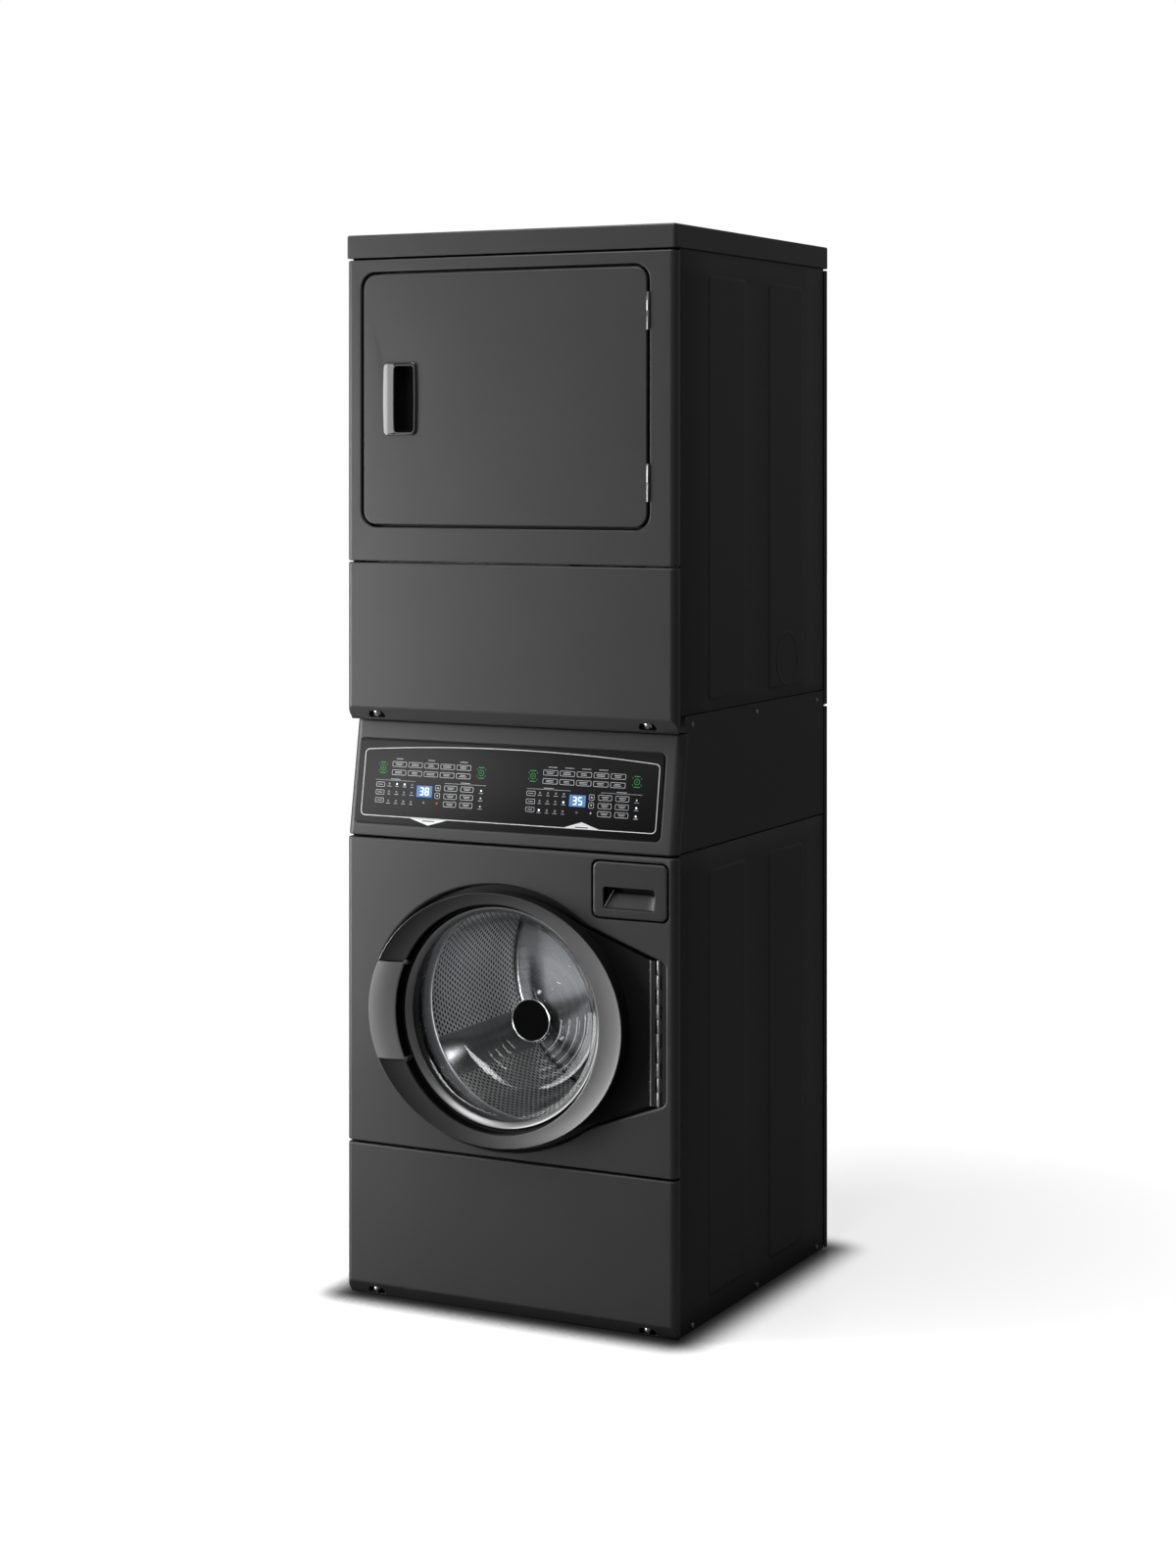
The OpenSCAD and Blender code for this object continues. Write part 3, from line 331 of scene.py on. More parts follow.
def soften(obj, width, segments=2, angle=35):
    mod = obj.modifiers.new("edges", "BEVEL")
    mod.width = width * MM
    mod.segments = segments
    mod.limit_method = "ANGLE"
    mod.angle_limit = math.radians(angle)
    mod.harden_normals = False
    return mod


def even_normals(obj):
    mod = obj.modifiers.new("normals", "WEIGHTED_NORMAL")
    mod.weight = 100
    mod.keep_sharp = True


class Shape:
    """Vertices and faces gathered from strips, flat regions and caps."""

    def __init__(self):
        self.verts = []
        self.faces = []

    def add(self, points):
        start = len(self.verts)
        self.verts += [tuple(p) for p in points]
        return list(range(start, start + len(points)))

    def strip(self, loops, closed=True):
        rows = [self.add(loop) for loop in loops]
        for a, b in zip(rows, rows[1:]):
            n = len(a)
            for i in range(n if closed else n - 1):
                j = (i + 1) % n
                self.faces.append((a[i], a[j], b[j], b[i]))
        return rows

    def flat(self, outer, holes, origin, u=(1, 0, 0), v=(0, 0, 1)):
        """Fills the flat region between a closed outline and its holes."""
        u, v, origin = Vector(u), Vector(v), Vector(origin)
        loops = [[Vector(((Vector(p) - origin).dot(u), (Vector(p) - origin).dot(v))) for p in loop]
                 for loop in [outer] + list(holes)]
        points, edges = [], []
        for loop in loops:
            base, n = len(points), len(loop)
            points += loop
            edges += [(base + i, base + (i + 1) % n) for i in range(n)]
        out, _, tris, _, _, _ = delaunay_2d_cdt(points, edges, [], 1, 1e-5)
        ids = self.add([origin + u * p.x + v * p.y for p in out])
        for tri in tris:
            c = sum((out[i] for i in tri), Vector((0, 0))) / len(tri)
            if inside(c, loops[0]) and not any(inside(c, hole) for hole in loops[1:]):
                self.faces.append(tuple(ids[i] for i in tri))

    def fill(self, loop):
        self.faces.append(tuple(self.add(loop)))

    def slab(self, loop):
        """Fills a gently curved outline with rows of quads between its two long sides."""
        half = len(loop) // 2
        a, b = loop[:half], loop[::-1][:half]
        self.strip([a, b], closed=False)
        if len(loop) % 2:
            self.fill([a[-1], loop[half], b[-1]])


def inside(p, loop):
    hit = False
    for a, b in zip(loop, loop[1:] + loop[:1]):
        if (a.y > p.y) != (b.y > p.y) and p.x < (b.x - a.x) * (p.y - a.y) / (b.y - a.y) + a.x:
            hit = not hit
    return hit


def arc(cx, cy, r, start, end, steps):
    return [(cx + r * math.cos(math.radians(start + (end - start) * i / steps)),
             cy + r * math.sin(math.radians(start + (end - start) * i / steps))) for i in range(steps + 1)]


def rounded(w, h, r, cx=0.0, cy=0.0, steps=8):
    """Outline of a rounded rectangle, counter-clockwise."""
    r = max(0.01, r)
    pts = []
    for sx, sy, start in ((1, 1, 0), (-1, 1, 90), (-1, -1, 180), (1, -1, 270)):
        pts += arc(cx + sx * (w / 2 - r), cy + sy * (h / 2 - r), r, start, start + 90, steps)
    return pts


def roll(r, angles=(90, 67, 45, 22, 0)):
    """Inset and drop of the rows that round an edge, from the flat face to the wall."""
    return [(r * (1 - math.cos(math.radians(a))), r * (1 - math.sin(math.radians(a)))) for a in angles]


def lathe(profile, centre, steps=96, closed=False):
    """Surface turned round a Y axis through centre; the profile is (radius, y)."""
    shape = Shape()
    loops = []
    for r, y in profile:
        loops.append([(centre.x + r * math.cos(2 * math.pi * i / steps), y,
                       centre.z + r * math.sin(2 * math.pi * i / steps)) for i in range(steps)])
    if closed:
        loops.append(loops[0])
    shape.strip(loops)
    return shape


# ---------- folded sheet fronts ----------

FOLD = 20.0              # depth of the folded edge
CORNER = 12.0            # radius of the fronts' upright corners
STRAIGHT = 9             # index of the profile point from which the front runs straight to the next one
MIDDLE_ROW = 4           # row below the plain wall, in fronts with two rolled edges


def fold_profile(g, corner=CORNER):
    """The folded front seen from above, set in by g: from the left rear edge round to the right."""
    r = max(0.05, corner - g)
    left = arc(-EDGE_X + corner, FRONT + corner, r, 180, 270, 8)
    right = arc(EDGE_X - corner, FRONT + corner, r, 270, 360, 8)
    return [(-EDGE_X + g, FRONT + FOLD)] + left + right + [(EDGE_X - g, FRONT + FOLD)]


def wall_rows(shape, rows, skip_front=()):
    """Strips between profile rows; rows in skip_front leave the straight front open."""
    ids = [shape.add(row) for row in rows]
    for k, (a, b) in enumerate(zip(ids, ids[1:])):
        for i in range(len(a) - 1):
            if k in skip_front and i == STRAIGHT:
                continue
            shape.faces.append((a[i], a[i + 1], b[i + 1], b[i]))


def front_outline(rows):
    """Corners of the straight front that wall_rows left open."""
    below, above = rows[MIDDLE_ROW], rows[MIDDLE_ROW + 1]
    return [below[STRAIGHT], below[STRAIGHT + 1], above[STRAIGHT + 1], above[STRAIGHT]]


def folded_front(name, node, holes, inner, r=3.0):
    """A front sheet folded back on all four sides, with holes cut out of its flat face."""
    z0, z1 = low(node).z, high(node).z
    shape = Shape()
    levels = [(g, z0 + d) for g, d in roll(r)] + [(g, z1 - d) for g, d in roll(r)[::-1]]
    rows = [[(x, y, z) for x, y in fold_profile(g)] for g, z in levels]
    wall_rows(shape, rows, skip_front=(MIDDLE_ROW,))
    shape.flat(front_outline(rows), holes, (0, FRONT, 0))
    for row in (rows[0], rows[-1]):
        shape.fill(row)
    inner(shape)
    obj = piece(name, shape, COAT, "cabinet", (node,), weld=0.02)
    solidify(obj, SHEET, even=False)
    even_normals(obj)


# The dish pressed in the washer's front panel

DISH_DEPTH = 26.0
WING_X, WING_H, WING_SLOPE, WING_END = 316.0, 133.0, 0.36, 336.0


def smooth_max(a, b, k):
    """The larger of two numbers, blended over a width k where they meet."""
    h = max(0.0, min(1.0, 0.5 + 0.5 * (a - b) / k))
    return b + (a - b) * h + k * h * (1 - h)


def smooth_min(a, b, k):
    return -smooth_max(-a, -b, k)


def star_radius(phi, a, b, wing_end, wing_h, round_k):
    """Distance from the door's axis to the outline of an oval joined to the hinge wing."""
    c, s = math.cos(phi), math.sin(phi)
    oval = 1 / math.hypot(c / a, s / b)
    if c <= 0.15:
        return oval
    slanted = (wing_h + WING_SLOPE * WING_X) / (abs(s) + WING_SLOPE * c)
    wing = smooth_min(slanted, wing_end / c, round_k)
    return smooth_max(oval, wing, 5.0)


def star_angles():
    corner = math.degrees(math.atan2(WING_H, WING_END))
    angles = [2.5 * i for i in range(144)]
    angles += [corner + d for d in (-2.1, -1.6, -1.1, -0.6, 0.6, 1.1, 1.6, 2.1)]
    angles += [360 - corner + d for d in (-2.1, -1.6, -1.1, -0.6, 0.6, 1.1, 1.6, 2.1)]
    return sorted(set(round(x, 3) for x in angles))


def star_outline(a, b, wing_end, wing_h, round_k=14.0):
    pts = []
    for deg in star_angles():
        phi = math.radians(deg)
        r = star_radius(phi, a, b, wing_end, wing_h, round_k)
        pts.append(Vector((DOOR.x + r * math.cos(phi), DOOR.z + r * math.sin(phi))))
    return pts


def offset_loop(pts, g):
    """The loop moved outwards by g."""
    out = []
    n = len(pts)
    for i in range(n):
        t = (pts[(i + 1) % n] - pts[i - 1]).normalized()
        out.append(pts[i] + Vector((t.y, -t.x)) * g)
    return out


def at_depth(pts, y):
    return [(p[0], y, p[1]) for p in pts]


def circle(r, n=96):
    """Circle round the washer door's axis."""
    turns = [2 * math.pi * i / n for i in range(n)]
    return [(DOOR.x + r * math.cos(a), DOOR.z + r * math.sin(a)) for a in turns]


def washer_front():
    """Front panel with the dish round the door and the dispenser's slot."""
    outline = star_outline(RING_A + 8, RING_B + 11, WING_END, WING_H)
    lip = 5.0
    loops = [at_depth(offset_loop(outline, lip - d), FRONT + g) for g, d in
             [(lip * (1 - math.cos(math.radians(x))), lip * math.sin(math.radians(x)))
              for x in (0, 18, 36, 54, 72, 90)]]
    foot = 4.0
    loops += [at_depth(offset_loop(outline, -foot * (1 - math.cos(math.radians(x)))),
                       FRONT + DISH_DEPTH - foot + foot * math.sin(math.radians(x)))
                       for x in (0, 30, 60, 90)]
    disp = middle("dispenser_front")
    w = high("dispenser_front").x - low("dispenser_front").x + 6
    h = high("dispenser_front").z - low("dispenser_front").z + 6
    slot_hole = [[(x, z) for x, z in rounded(w + 2 * g, h + 2 * g, 13 + g, disp.x, disp.z)]
                 for g in (1.5, 0.5, 0)]
    slot_loops = [at_depth(slot_hole[0], FRONT), at_depth(slot_hole[1], FRONT + 0.5),
                  at_depth(slot_hole[2], FRONT + 1.6), at_depth(slot_hole[2], FRONT + 14)]

    def inner(shape):
        shape.strip(loops)
        hole = at_depth(circle(224), FRONT + DISH_DEPTH)
        shape.flat(loops[-1], [hole], (0, FRONT + DISH_DEPTH, 0))
        shape.strip(slot_loops)

    folded_front("washer_front", "washer_front_panel", [loops[0], slot_loops[0]], inner)


def dryer_front():
    """Front panel with the step round the dryer's door and its throat."""
    door_lo, door_hi = low("dryer_door_panel"), high("dryer_door_panel")
    gap = 5.5
    cx, cz = (door_lo.x + door_hi.x) / 2, (door_lo.z + door_hi.z) / 2
    w, h = door_hi.x - door_lo.x + 2 * gap, door_hi.z - door_lo.z + 2 * gap
    lip = 2.5
    loops = []
    for a in (0, 30, 60, 90):
        g = lip * (1 - math.sin(math.radians(a)))
        loops.append(at_depth(rounded(w + 2 * g, h + 2 * g, 30.5 + g, cx, cz),
                              FRONT + lip * (1 - math.cos(math.radians(a)))))
    loops.append(at_depth(rounded(w, h, 30.5, cx, cz), FRONT + 22))
    loops.append(at_depth(rounded(w - 4, h - 4, 28.5, cx, cz), FRONT + 24))
    throat = at_depth(rounded(450, 320, 60, cx, cz, 10), FRONT + 24)

    def inner(shape):
        shape.strip(loops)
        shape.flat(loops[-1], [throat], (0, FRONT + 24, 0))

    folded_front("dryer_front", "dryer_front_panel", [loops[0]], inner)


def front_screw(name, side, c, u, v, n):
    """Bright washer and domed head standing in a dimple of a lower front."""
    profile = [(0.3, -3.0), (7.4, -3.0), (7.8, -2.4), (7.2, -1.7), (5.4, -1.6), (5.2, -0.4), (4.2, 0.7),
               (2.4, 1.3),
               (2.0, 0.4), (0.3, 0.3)]
    shape = Shape()
    shape.strip([[c + u * (r * math.cos(math.pi * i / 10)) + v * (r * math.sin(math.pi * i / 10)) + n * h
                  for i in range(20)] for r, h in profile])
    piece("%s_screw_%s" % (name, side), shape, CHROME, "cabinet", weld=0.01)


def kick_front(name, node):
    """Lower front sheet with its bottom edge folded back and two screw dimples, their cups near-black as
    painted shade.
    """
    z0, z1 = low(node).z, high(node).z
    steep = 1.45
    shape = Shape()
    rows = []

    def cut(y):
        return max(z0, z0 + FOLD / 2 + steep * (FOLD / 2 - (y - FRONT)))

    for g, lift in ((1.6, 0.0), (0.7, 0.6), (0.0, 2.6)):
        rows.append([(x, y, cut(y) + lift) for x, y in fold_profile(g)])
    for g, d in roll(3.0)[::-1]:
        rows.append([(x, y, z1 - d) for x, y in fold_profile(g)])
    wall_rows(shape, rows)
    shape.fill(rows[-1])
    u = Vector((1, 0, 0))
    v = Vector((0, 1, -steep)).normalized()
    n = Vector((0, -steep, -1)).normalized()
    holes = []
    for side, sx in (("left", -1), ("right", 1)):
        c = Vector((sx * SCREW_X, FRONT + FOLD / 2, z0 + FOLD / 2))

        def ring(g, depth):
            """Outline of the pressed dimple, wider at its bottom, set in by g."""
            return [tuple(c + u * (x * (1 + 0.022 * t)) + v * t - n * depth)
                    for x, t in rounded(34 - 2 * g, 17 - 2 * g, 6 - g / 2, 0, 1.0)]

        holes.append(ring(0, 0))
        shape.strip([holes[-1], ring(0.8, 0.4)])
        # The dimple's cup is the same pressed sheet, made near-black: painted shade in the recess.
        cup = Shape()
        cup.strip([ring(0.8, 0.4), ring(3.4, 2.6), ring(4.6, 3.0)])
        cup.fill(ring(4.6, 3.0))
        piece("%s_dimple_%s" % (name, side), cup, DEEP_BLACK_AND_SHADE, "cabinet", weld=0.01)
        front_screw(name, side, c, u, v, n)
    shape.flat(rows[0], holes, (0, FRONT, cut(FRONT)), u, v)
    obj = piece(name, shape, COAT, "cabinet", (node,), weld=0.02)
    solidify(obj, SHEET)
    even_normals(obj)


# ---------- sides, cap and console ----------

PAD_SLOPE = 5.0          # width of a pad's sloped border
PAD_CORNER = 14.0        # radius of a pad's corners


def steps_round(edge):
    """Sample places across a sloped border that starts at edge."""
    return [edge + PAD_SLOPE * t for t in (0, 0.2, 0.4, 0.6, 0.8, 1)]


def side_sheet(name, node, sign, pads_z):
    """Outer sheet of a side, with two raised pads whose borders slope."""
    y0, y1 = low(node).y, high(node).y
    z0, z1 = low(node).z, high(node).z
    pads = [(FRONT + 140, FRONT + 308), (FRONT + 412, FRONT + 577)]
    ys = {y0, y0 + 1.2, y1, y1 - 1.2}
    for a, b in pads:
        ys.update(steps_round(a) + steps_round(b - PAD_SLOPE) + [a + 12, b - 12, a + 8, b - 8])
    zs = {z0, z0 + 1.2, z1, z1 - 1.2}
    a, b = pads_z
    zs.update(steps_round(a) + steps_round(b - PAD_SLOPE) + [a + 12, b - 12, a + 8, b - 8])
    ys, zs = sorted(ys), sorted(zs)

    def rise(y, z):
        best = 0.0
        for p, q in pads:
            cy, cz = (p + q) / 2, (a + b) / 2
            dy, dz = abs(y - cy) - ((q - p) / 2 - PAD_CORNER), abs(z - cz) - ((b - a) / 2 - PAD_CORNER)
            d = PAD_CORNER - (math.hypot(max(dy, 0), max(dz, 0)) + min(max(dy, dz), 0))
            t = max(0.0, min(1.0, d / PAD_SLOPE))
            best = max(best, t * t * (3 - 2 * t))
        return best

    shape = Shape()
    rows = []
    for z in zs:
        row = []
        for y in ys:
            drop = 0.8 if y in (y0, y1) or z in (z0, z1) else 0.0
            row.append((sign * (SIDE_X - drop + 1.5 * rise(y, z)), y, z))
        rows.append(row)
    shape.strip(rows, closed=False)
    # The side sheet takes the darker copy of the graphite paint: painted shade.
    obj = piece(name, shape, SIDE_SHADED_COAT, "cabinet", (node,))
    sheet = solidify(obj, SHEET)
    if obj.data.polygons[0].normal.x * sign < 0:
        sheet.offset = 1


def side_knockout():
    """Pressed ring on the dryer's right side where a side exhaust may be opened."""
    cy, cz, loops = FRONT + KNOCKOUT_Y, KNOCKOUT_Z, []
    shape = Shape()
    for r, lift in ((47.0, -0.6), (47.6, 0.1), (48.6, 0.55), (49.8, 0.6), (51.0, 0.55), (52.0, 0.1),
                    (52.6, -0.6)):
        loops.append([(SIDE_X + 1.5 + lift, cy + r * math.cos(math.pi * i / 36),
                       cz + r * math.sin(math.pi * i / 36))
                      for i in range(72)])
    shape.strip(loops)
    # The knock-out ring takes the darker side copy of the paint: painted shade.
    piece("dryer_side_knockout", shape, SIDE_SHADED_COAT, "cabinet", weld=0.01)


def cap():
    """Top cap: a shallow tray turned over, with rounded edges."""
    lo, hi = low("top_cap"), high("top_cap")
    w, d = hi.x - lo.x, hi.y - lo.y
    cx, cy = (hi.x + lo.x) / 2, (hi.y + lo.y) / 2
    shape = Shape()
    rows = []
    levels = [(8, lo.z), (1.2, lo.z), (0.3, lo.z + 0.4), (0, lo.z + 1.4)]
    levels += [(g, hi.z - drop) for g, drop in roll(4.0)[::-1]]
    for g, z in levels:
        rows.append([(x, y, z) for x, y in rounded(w - 2 * g, d - 2 * g, max(0.5, 7 - g), cx, cy, 6)])
    shape.strip(rows)
    shape.fill(rows[-1])
    obj = piece("cap", shape, COAT, "cabinet", ("top_cap",), weld=0.02)
    solidify(obj, SHEET)
    even_normals(obj)


CONSOLE_Z = low("console").z
CONSOLE_H = high("console").z - CONSOLE_Z
CONSOLE_LEAN = 35.0
TILT = math.atan(CONSOLE_LEAN / CONSOLE_H)
SLOPE = Matrix.Translation((0, FRONT, CONSOLE_Z)) @ Matrix.Rotation(-TILT, 4, "X")
SLOPE_LEN = math.hypot(CONSOLE_LEAN, CONSOLE_H)
OVERLAY = (-9.0, 102.5, 635.0, 157.0)


def on_slope(x, depth, s):
    """A point on the control panel: x across, depth into it, s up its slope from the bottom edge."""
    return tuple(SLOPE @ Vector((x, depth, s)))


def console():
    """Bezel of the control panel, with a recess for the overlay."""
    edge = roll(4.0)
    levels = edge + [(g, SLOPE_LEN - d) for g, d in edge[::-1]]
    shape = Shape()
    rows = [[on_slope(x, y - FRONT, s + (y - FRONT) * math.tan(TILT)) for x, y in fold_profile(g, 15.0)]
            for g, s in levels]
    wall_rows(shape, rows, skip_front=(MIDDLE_ROW,))
    ox, os, ow, oh = OVERLAY

    def loop(g, depth):
        return [on_slope(x, depth, s) for x, s in rounded(ow + 2 * g, oh + 2 * g, 11 + g, ox, os)]

    recess = [loop(3.2, 0), loop(2.2, 0.25), loop(1.4, 0.9), loop(1.0, 1.7), loop(-1.0, 1.9)]
    up = Vector((0, math.sin(TILT), math.cos(TILT)))
    shape.flat(front_outline(rows), [recess[0]], on_slope(0, 0, 0), (1, 0, 0), up)
    shape.strip(recess)
    shape.fill(recess[-1])
    for row in (rows[0], rows[-1]):
        shape.fill(row)
    obj = piece("console_bezel", shape, COAT, "cabinet", ("console",), weld=0.02)
    solidify(obj, 2.2)
    even_normals(obj)


# Printing on the overlay: flat marks with a little thickness, in slope coordinates

INK = 0.08               # thickness of a mark


class Marks:
    """Printed marks of one colour, lying lift below the slope's surface."""

    def __init__(self, lift):
        self.shape = Shape()
        self.lift = lift

    def solid(self, pts):
        top = [on_slope(x, self.lift, s) for x, s in pts]
        base = [on_slope(x, self.lift + INK, s) for x, s in pts]
        self.shape.strip([top, base])
        self.shape.fill(top)
        self.shape.fill(base)

    def bar(self, x, s, w, h):
        self.solid([(x - w / 2, s - h / 2), (x + w / 2, s - h / 2), (x + w / 2, s + h / 2),
                    (x - w / 2, s + h / 2)])

    def band(self, outer, inner):
        back = self.lift + INK
        loops = [[on_slope(x, depth, s) for x, s in outline]
                 for outline, depth in ((outer, self.lift), (inner, self.lift), (inner, back),
                                        (outer, back))]
        self.shape.strip(loops + [loops[0]])

    def frame(self, x, s, w, h, r, line):
        self.band(rounded(w, h, r, x, s, 3),
                  rounded(w - 2 * line, h - 2 * line, max(0.1, r - line), x, s, 3))

    def ring(self, x, s, r, line, n=20):
        out = [(x + r * math.cos(2 * math.pi * i / n), s + r * math.sin(2 * math.pi * i / n))
               for i in range(n)]
        inn = [(x + (r - line) * math.cos(2 * math.pi * i / n),
                s + (r - line) * math.sin(2 * math.pi * i / n))
               for i in range(n)]
        self.band(out, inn)

    def dot(self, x, s, r, n=12):
        self.solid([(x + r * math.cos(2 * math.pi * i / n), s + r * math.sin(2 * math.pi * i / n))
                    for i in range(n)])

    def build(self, name, mat, slot="overlay"):
        return piece(name, self.shape, mat, "cabinet", smooth=False, weld=0.001)


SEGMENTS = {"3": "abcdg", "5": "acdfg", "8": "abcdefg"}


def digit(marks, char, x, s, w, h, t):
    """A seven-segment digit centred on x, s."""
    places = {"a": (0, h / 2, 0), "g": (0, 0, 0), "d": (0, -h / 2, 0), "b": (w / 2, h / 4, 1),
              "c": (w / 2, -h / 4, 1), "f": (-w / 2, h / 4, 1), "e": (-w / 2, -h / 4, 1)}
    for seg in SEGMENTS[char]:
        dx, ds, upright = places[seg]
        if upright:
            marks.bar(x + dx, s + ds, t, h / 2 - t * 0.4)
        else:
            marks.bar(x + dx, s + ds, w - t * 0.4, t)


def control_group(x0, white, grey, green, blue, digits, red, left, number):
    """One of the two control groups; x0 is the middle of its display, left says which group it is."""
    key_s = (135.5, 120.0)
    first = x0 - 57.6 if left else x0 - 58.5
    for row, s in enumerate(key_s):
        for i in range(5):
            x = first + 34.4 * i
            white.frame(x, s, 30, 9.6, 1.8, 0.6)
            grey.bar(x - 1, s + 1.3, 17 - 3 * ((i + row) % 3), 0.9)
            grey.bar(x - 1, s - 1.3, 12 + 4 * ((i + row) % 2), 0.9)
    for i in range(0 if left else 4):
        grey.bar(first + 34.4 * i + 4, 145.5, 18, 0.9)
    if left:
        for x in (first, first + 68, first + 137):
            grey.bar(x, 145.5, 15, 0.9)
    for x in ((-273.4, -63.5) if left else (44.4, 255.5)):
        green.ring(x, 128, 5.6, 0.7)
        green.bar(x, 128, 0.8, 4.2)
        for ds in (9.6, -9.6):
            green.bar(x, 128 + ds, 12, 1.0)
        for dx in (-8.6, 8.6):
            green.bar(x + dx, 134, 0.6, 3.6)
            green.bar(x + dx, 122, 0.6, 3.6)
    lines = ((-244.6, 85.5), (-95.2, 88)) if left else ((78.6, 90), (226.8, 83.3))
    for x, w in lines:
        grey.bar(x, 105, w, 0.5)
        grey.bar(x, 107.4, 20, 0.9)
    side = -276 if left else 43
    for s in (96.5, 82.0, 67.3):
        white.frame(side, s, 18, 8.8, 1.6, 0.6)
        grey.bar(side, s, 10, 0.9)
    first_lamp = -257 if left else 61.5
    lit = {(1, 0), (2, 0)} if left else {(3, 1), (0, 2)}
    for row, s in enumerate((98.5, 83.8, 67.0)):
        for i in range(4):
            x = first_lamp + 16.3 * i
            if (i, row) in lit:
                digits.dot(x, s, 1.9)
            else:
                grey.ring(x, s, 1.7, 0.5, 12)
            grey.bar(x, s - 4.6, 8.5 - (i + row) % 2 * 2, 0.8)
    blue.bar(x0, 87.8, 33, 21)
    for i, char in enumerate(number):
        digit(digits, char, x0 - 5.6 + 11.2 * i, 87.8, 6.4, 13, 1.7)
    for s, flip in ((95.6, 1), (81.3, -1)):
        x = x0 + 28.4
        white.frame(x, s, 10.5, 10.5, 2.0, 0.6)
        grey.solid([(x - 2.2, s - 1.4 * flip), (x + 2.2, s - 1.4 * flip), (x, s + 2.2 * flip)])
    grey.ring(x0, 67, 1.7, 0.5, 12)
    (red if left else grey).dot(x0 + 28.4, 67.2, 1.7)
    for s in (96.0, 81.2, 66.8):
        for dx in (55.6, 90.2):
            white.frame(x0 + dx, s, 27, 9.8, 1.8, 0.6)
            grey.bar(x0 + dx, s + 1.3, 15, 0.85)
            grey.bar(x0 + dx, s - 1.3, 11, 0.85)
    far = -61 if left else 257.6
    for row, s in enumerate((95.2, 81.5, 66.4)):
        (digits if (row == 0) == left else grey).dot(far, s, 1.7)
        grey.bar(far, s - 4.6, 9, 0.8)


def overlay():
    """Overlay film with its printed frame, two control groups and their captions as plain bars."""
    white, grey, green, blue, red = (Marks(0.08) for _ in range(5))
    digits = Marks(0.0)
    ox, os, ow, oh = OVERLAY
    shape = Shape()
    outline = [rounded(ow - 2 * g, oh - 2 * g, 10, ox, os) for g in (0, 0.3)]
    top = [on_slope(x, 0.15, s) for x, s in outline[1]]
    rim = [on_slope(x, 0.45, s) for x, s in outline[0]]
    base = [on_slope(x, 1.6, s) for x, s in outline[0]]
    shape.strip([top, rim, base])
    shape.fill(top)
    shape.fill(base)
    piece("overlay_film", shape, FILM, "cabinet", ("control_overlay",), weld=0.01)
    x0, x1, s0, s1, rise, r = -314.5, 299.5, 37.5, 162.0, 12.0, 9.0

    def border(g):
        pts = arc(x0 + r, s0 + r, r - g, 180, 270, 6) + arc(x1 - r, s0 + r, r - g, 270, 360, 6)
        pts += arc(x1 - r, s1 - r, r - g, 0, 80, 6)
        for i in range(1, 24):
            t = i / 24
            pts.append((x1 - r - (x1 - x0 - 2 * r) * t, s1 - g + rise * 4 * t * (1 - t)))
        pts += arc(x0 + r, s1 - r, r - g, 100, 180, 6)
        return pts

    white.band(border(0), border(1.3))
    white.solid([(-207.6, 37.0), (-128, 37.0), (-167.8, 25.6)][::-1])
    white.solid([(111, 37.6), (190, 37.6), (150.6, 50.2)])
    for side, x, s in (("left", -167.8, 33.6), ("right", 150.6, 40.6)):
        caption = Marks(0.02)
        caption.bar(x, s, 26, 1.6)
        caption.build("triangle_bar_%s" % side, FILM)
    control_group(-181.0, white, grey, green, blue, digits, red, True, "38")
    control_group(138.7, white, grey, green, blue, digits, red, False, "35")
    white.build("overlay_white", WHITE_INK)
    grey.build("overlay_grey", GREY_INK)
    green.build("overlay_green", GREEN_INK)
    blue.build("overlay_displays", BLUE_GLOW)
    digits.build("overlay_digits", WHITE_GLOW)
    red.build("overlay_red", RED_GLOW)


# ---------- washer door ----------

HANDLE_H = 90.0


def ring_point(deg, k, y):
    a = math.radians(deg)
    return (DOOR.x + ((1 - k) * RING_IN + k * RING_A) * math.cos(a), FRONT + y,
            DOOR.z + ((1 - k) * RING_IN + k * RING_B) * math.sin(a))


def cut_angle(k, half):
    """Angle from the left horizontal at which the ring meets the handle's end."""
    return math.degrees(math.asin(half / ((1 - k) * RING_IN + k * RING_B)))


def swept_band(section, half, steps, handle):
    """The ring's section swept along the handle's arc, or along the rest of the ring."""
    rows = []
    for k, y in section:
        c = cut_angle(k, half)
        start, end = (180 - c, 180 + c) if handle else (-180 + c, 180 - c)
        rows.append([ring_point(start + (end - start) * i / steps, k, y) for i in range(steps + 1)])
    shape = Shape()
    shape.strip(rows + [rows[0]], closed=False)
    for i in (0, steps):
        shape.fill([row[i] for row in rows])
    return shape


def ring_section():
    """From the inner edge across the hollow face to the rim, and back behind."""
    pts = [(0.0, 6.0), (0.0, -12.6), (0.004, -13.9), (0.015, -14.8), (0.04, -15.2)]
    for i in range(1, 10):
        t = i / 10
        pts.append((0.04 + 0.88 * t, -15.2 - 9.6 * t + 3.4 * t * (1 - t)))
    pts += [(0.93, -25.0), (0.96, -25.6), (0.985, -25.3), (0.998, -24.2), (1.0, -22.6), (0.985, -8.0),
            (0.97, 6.0)]
    return pts


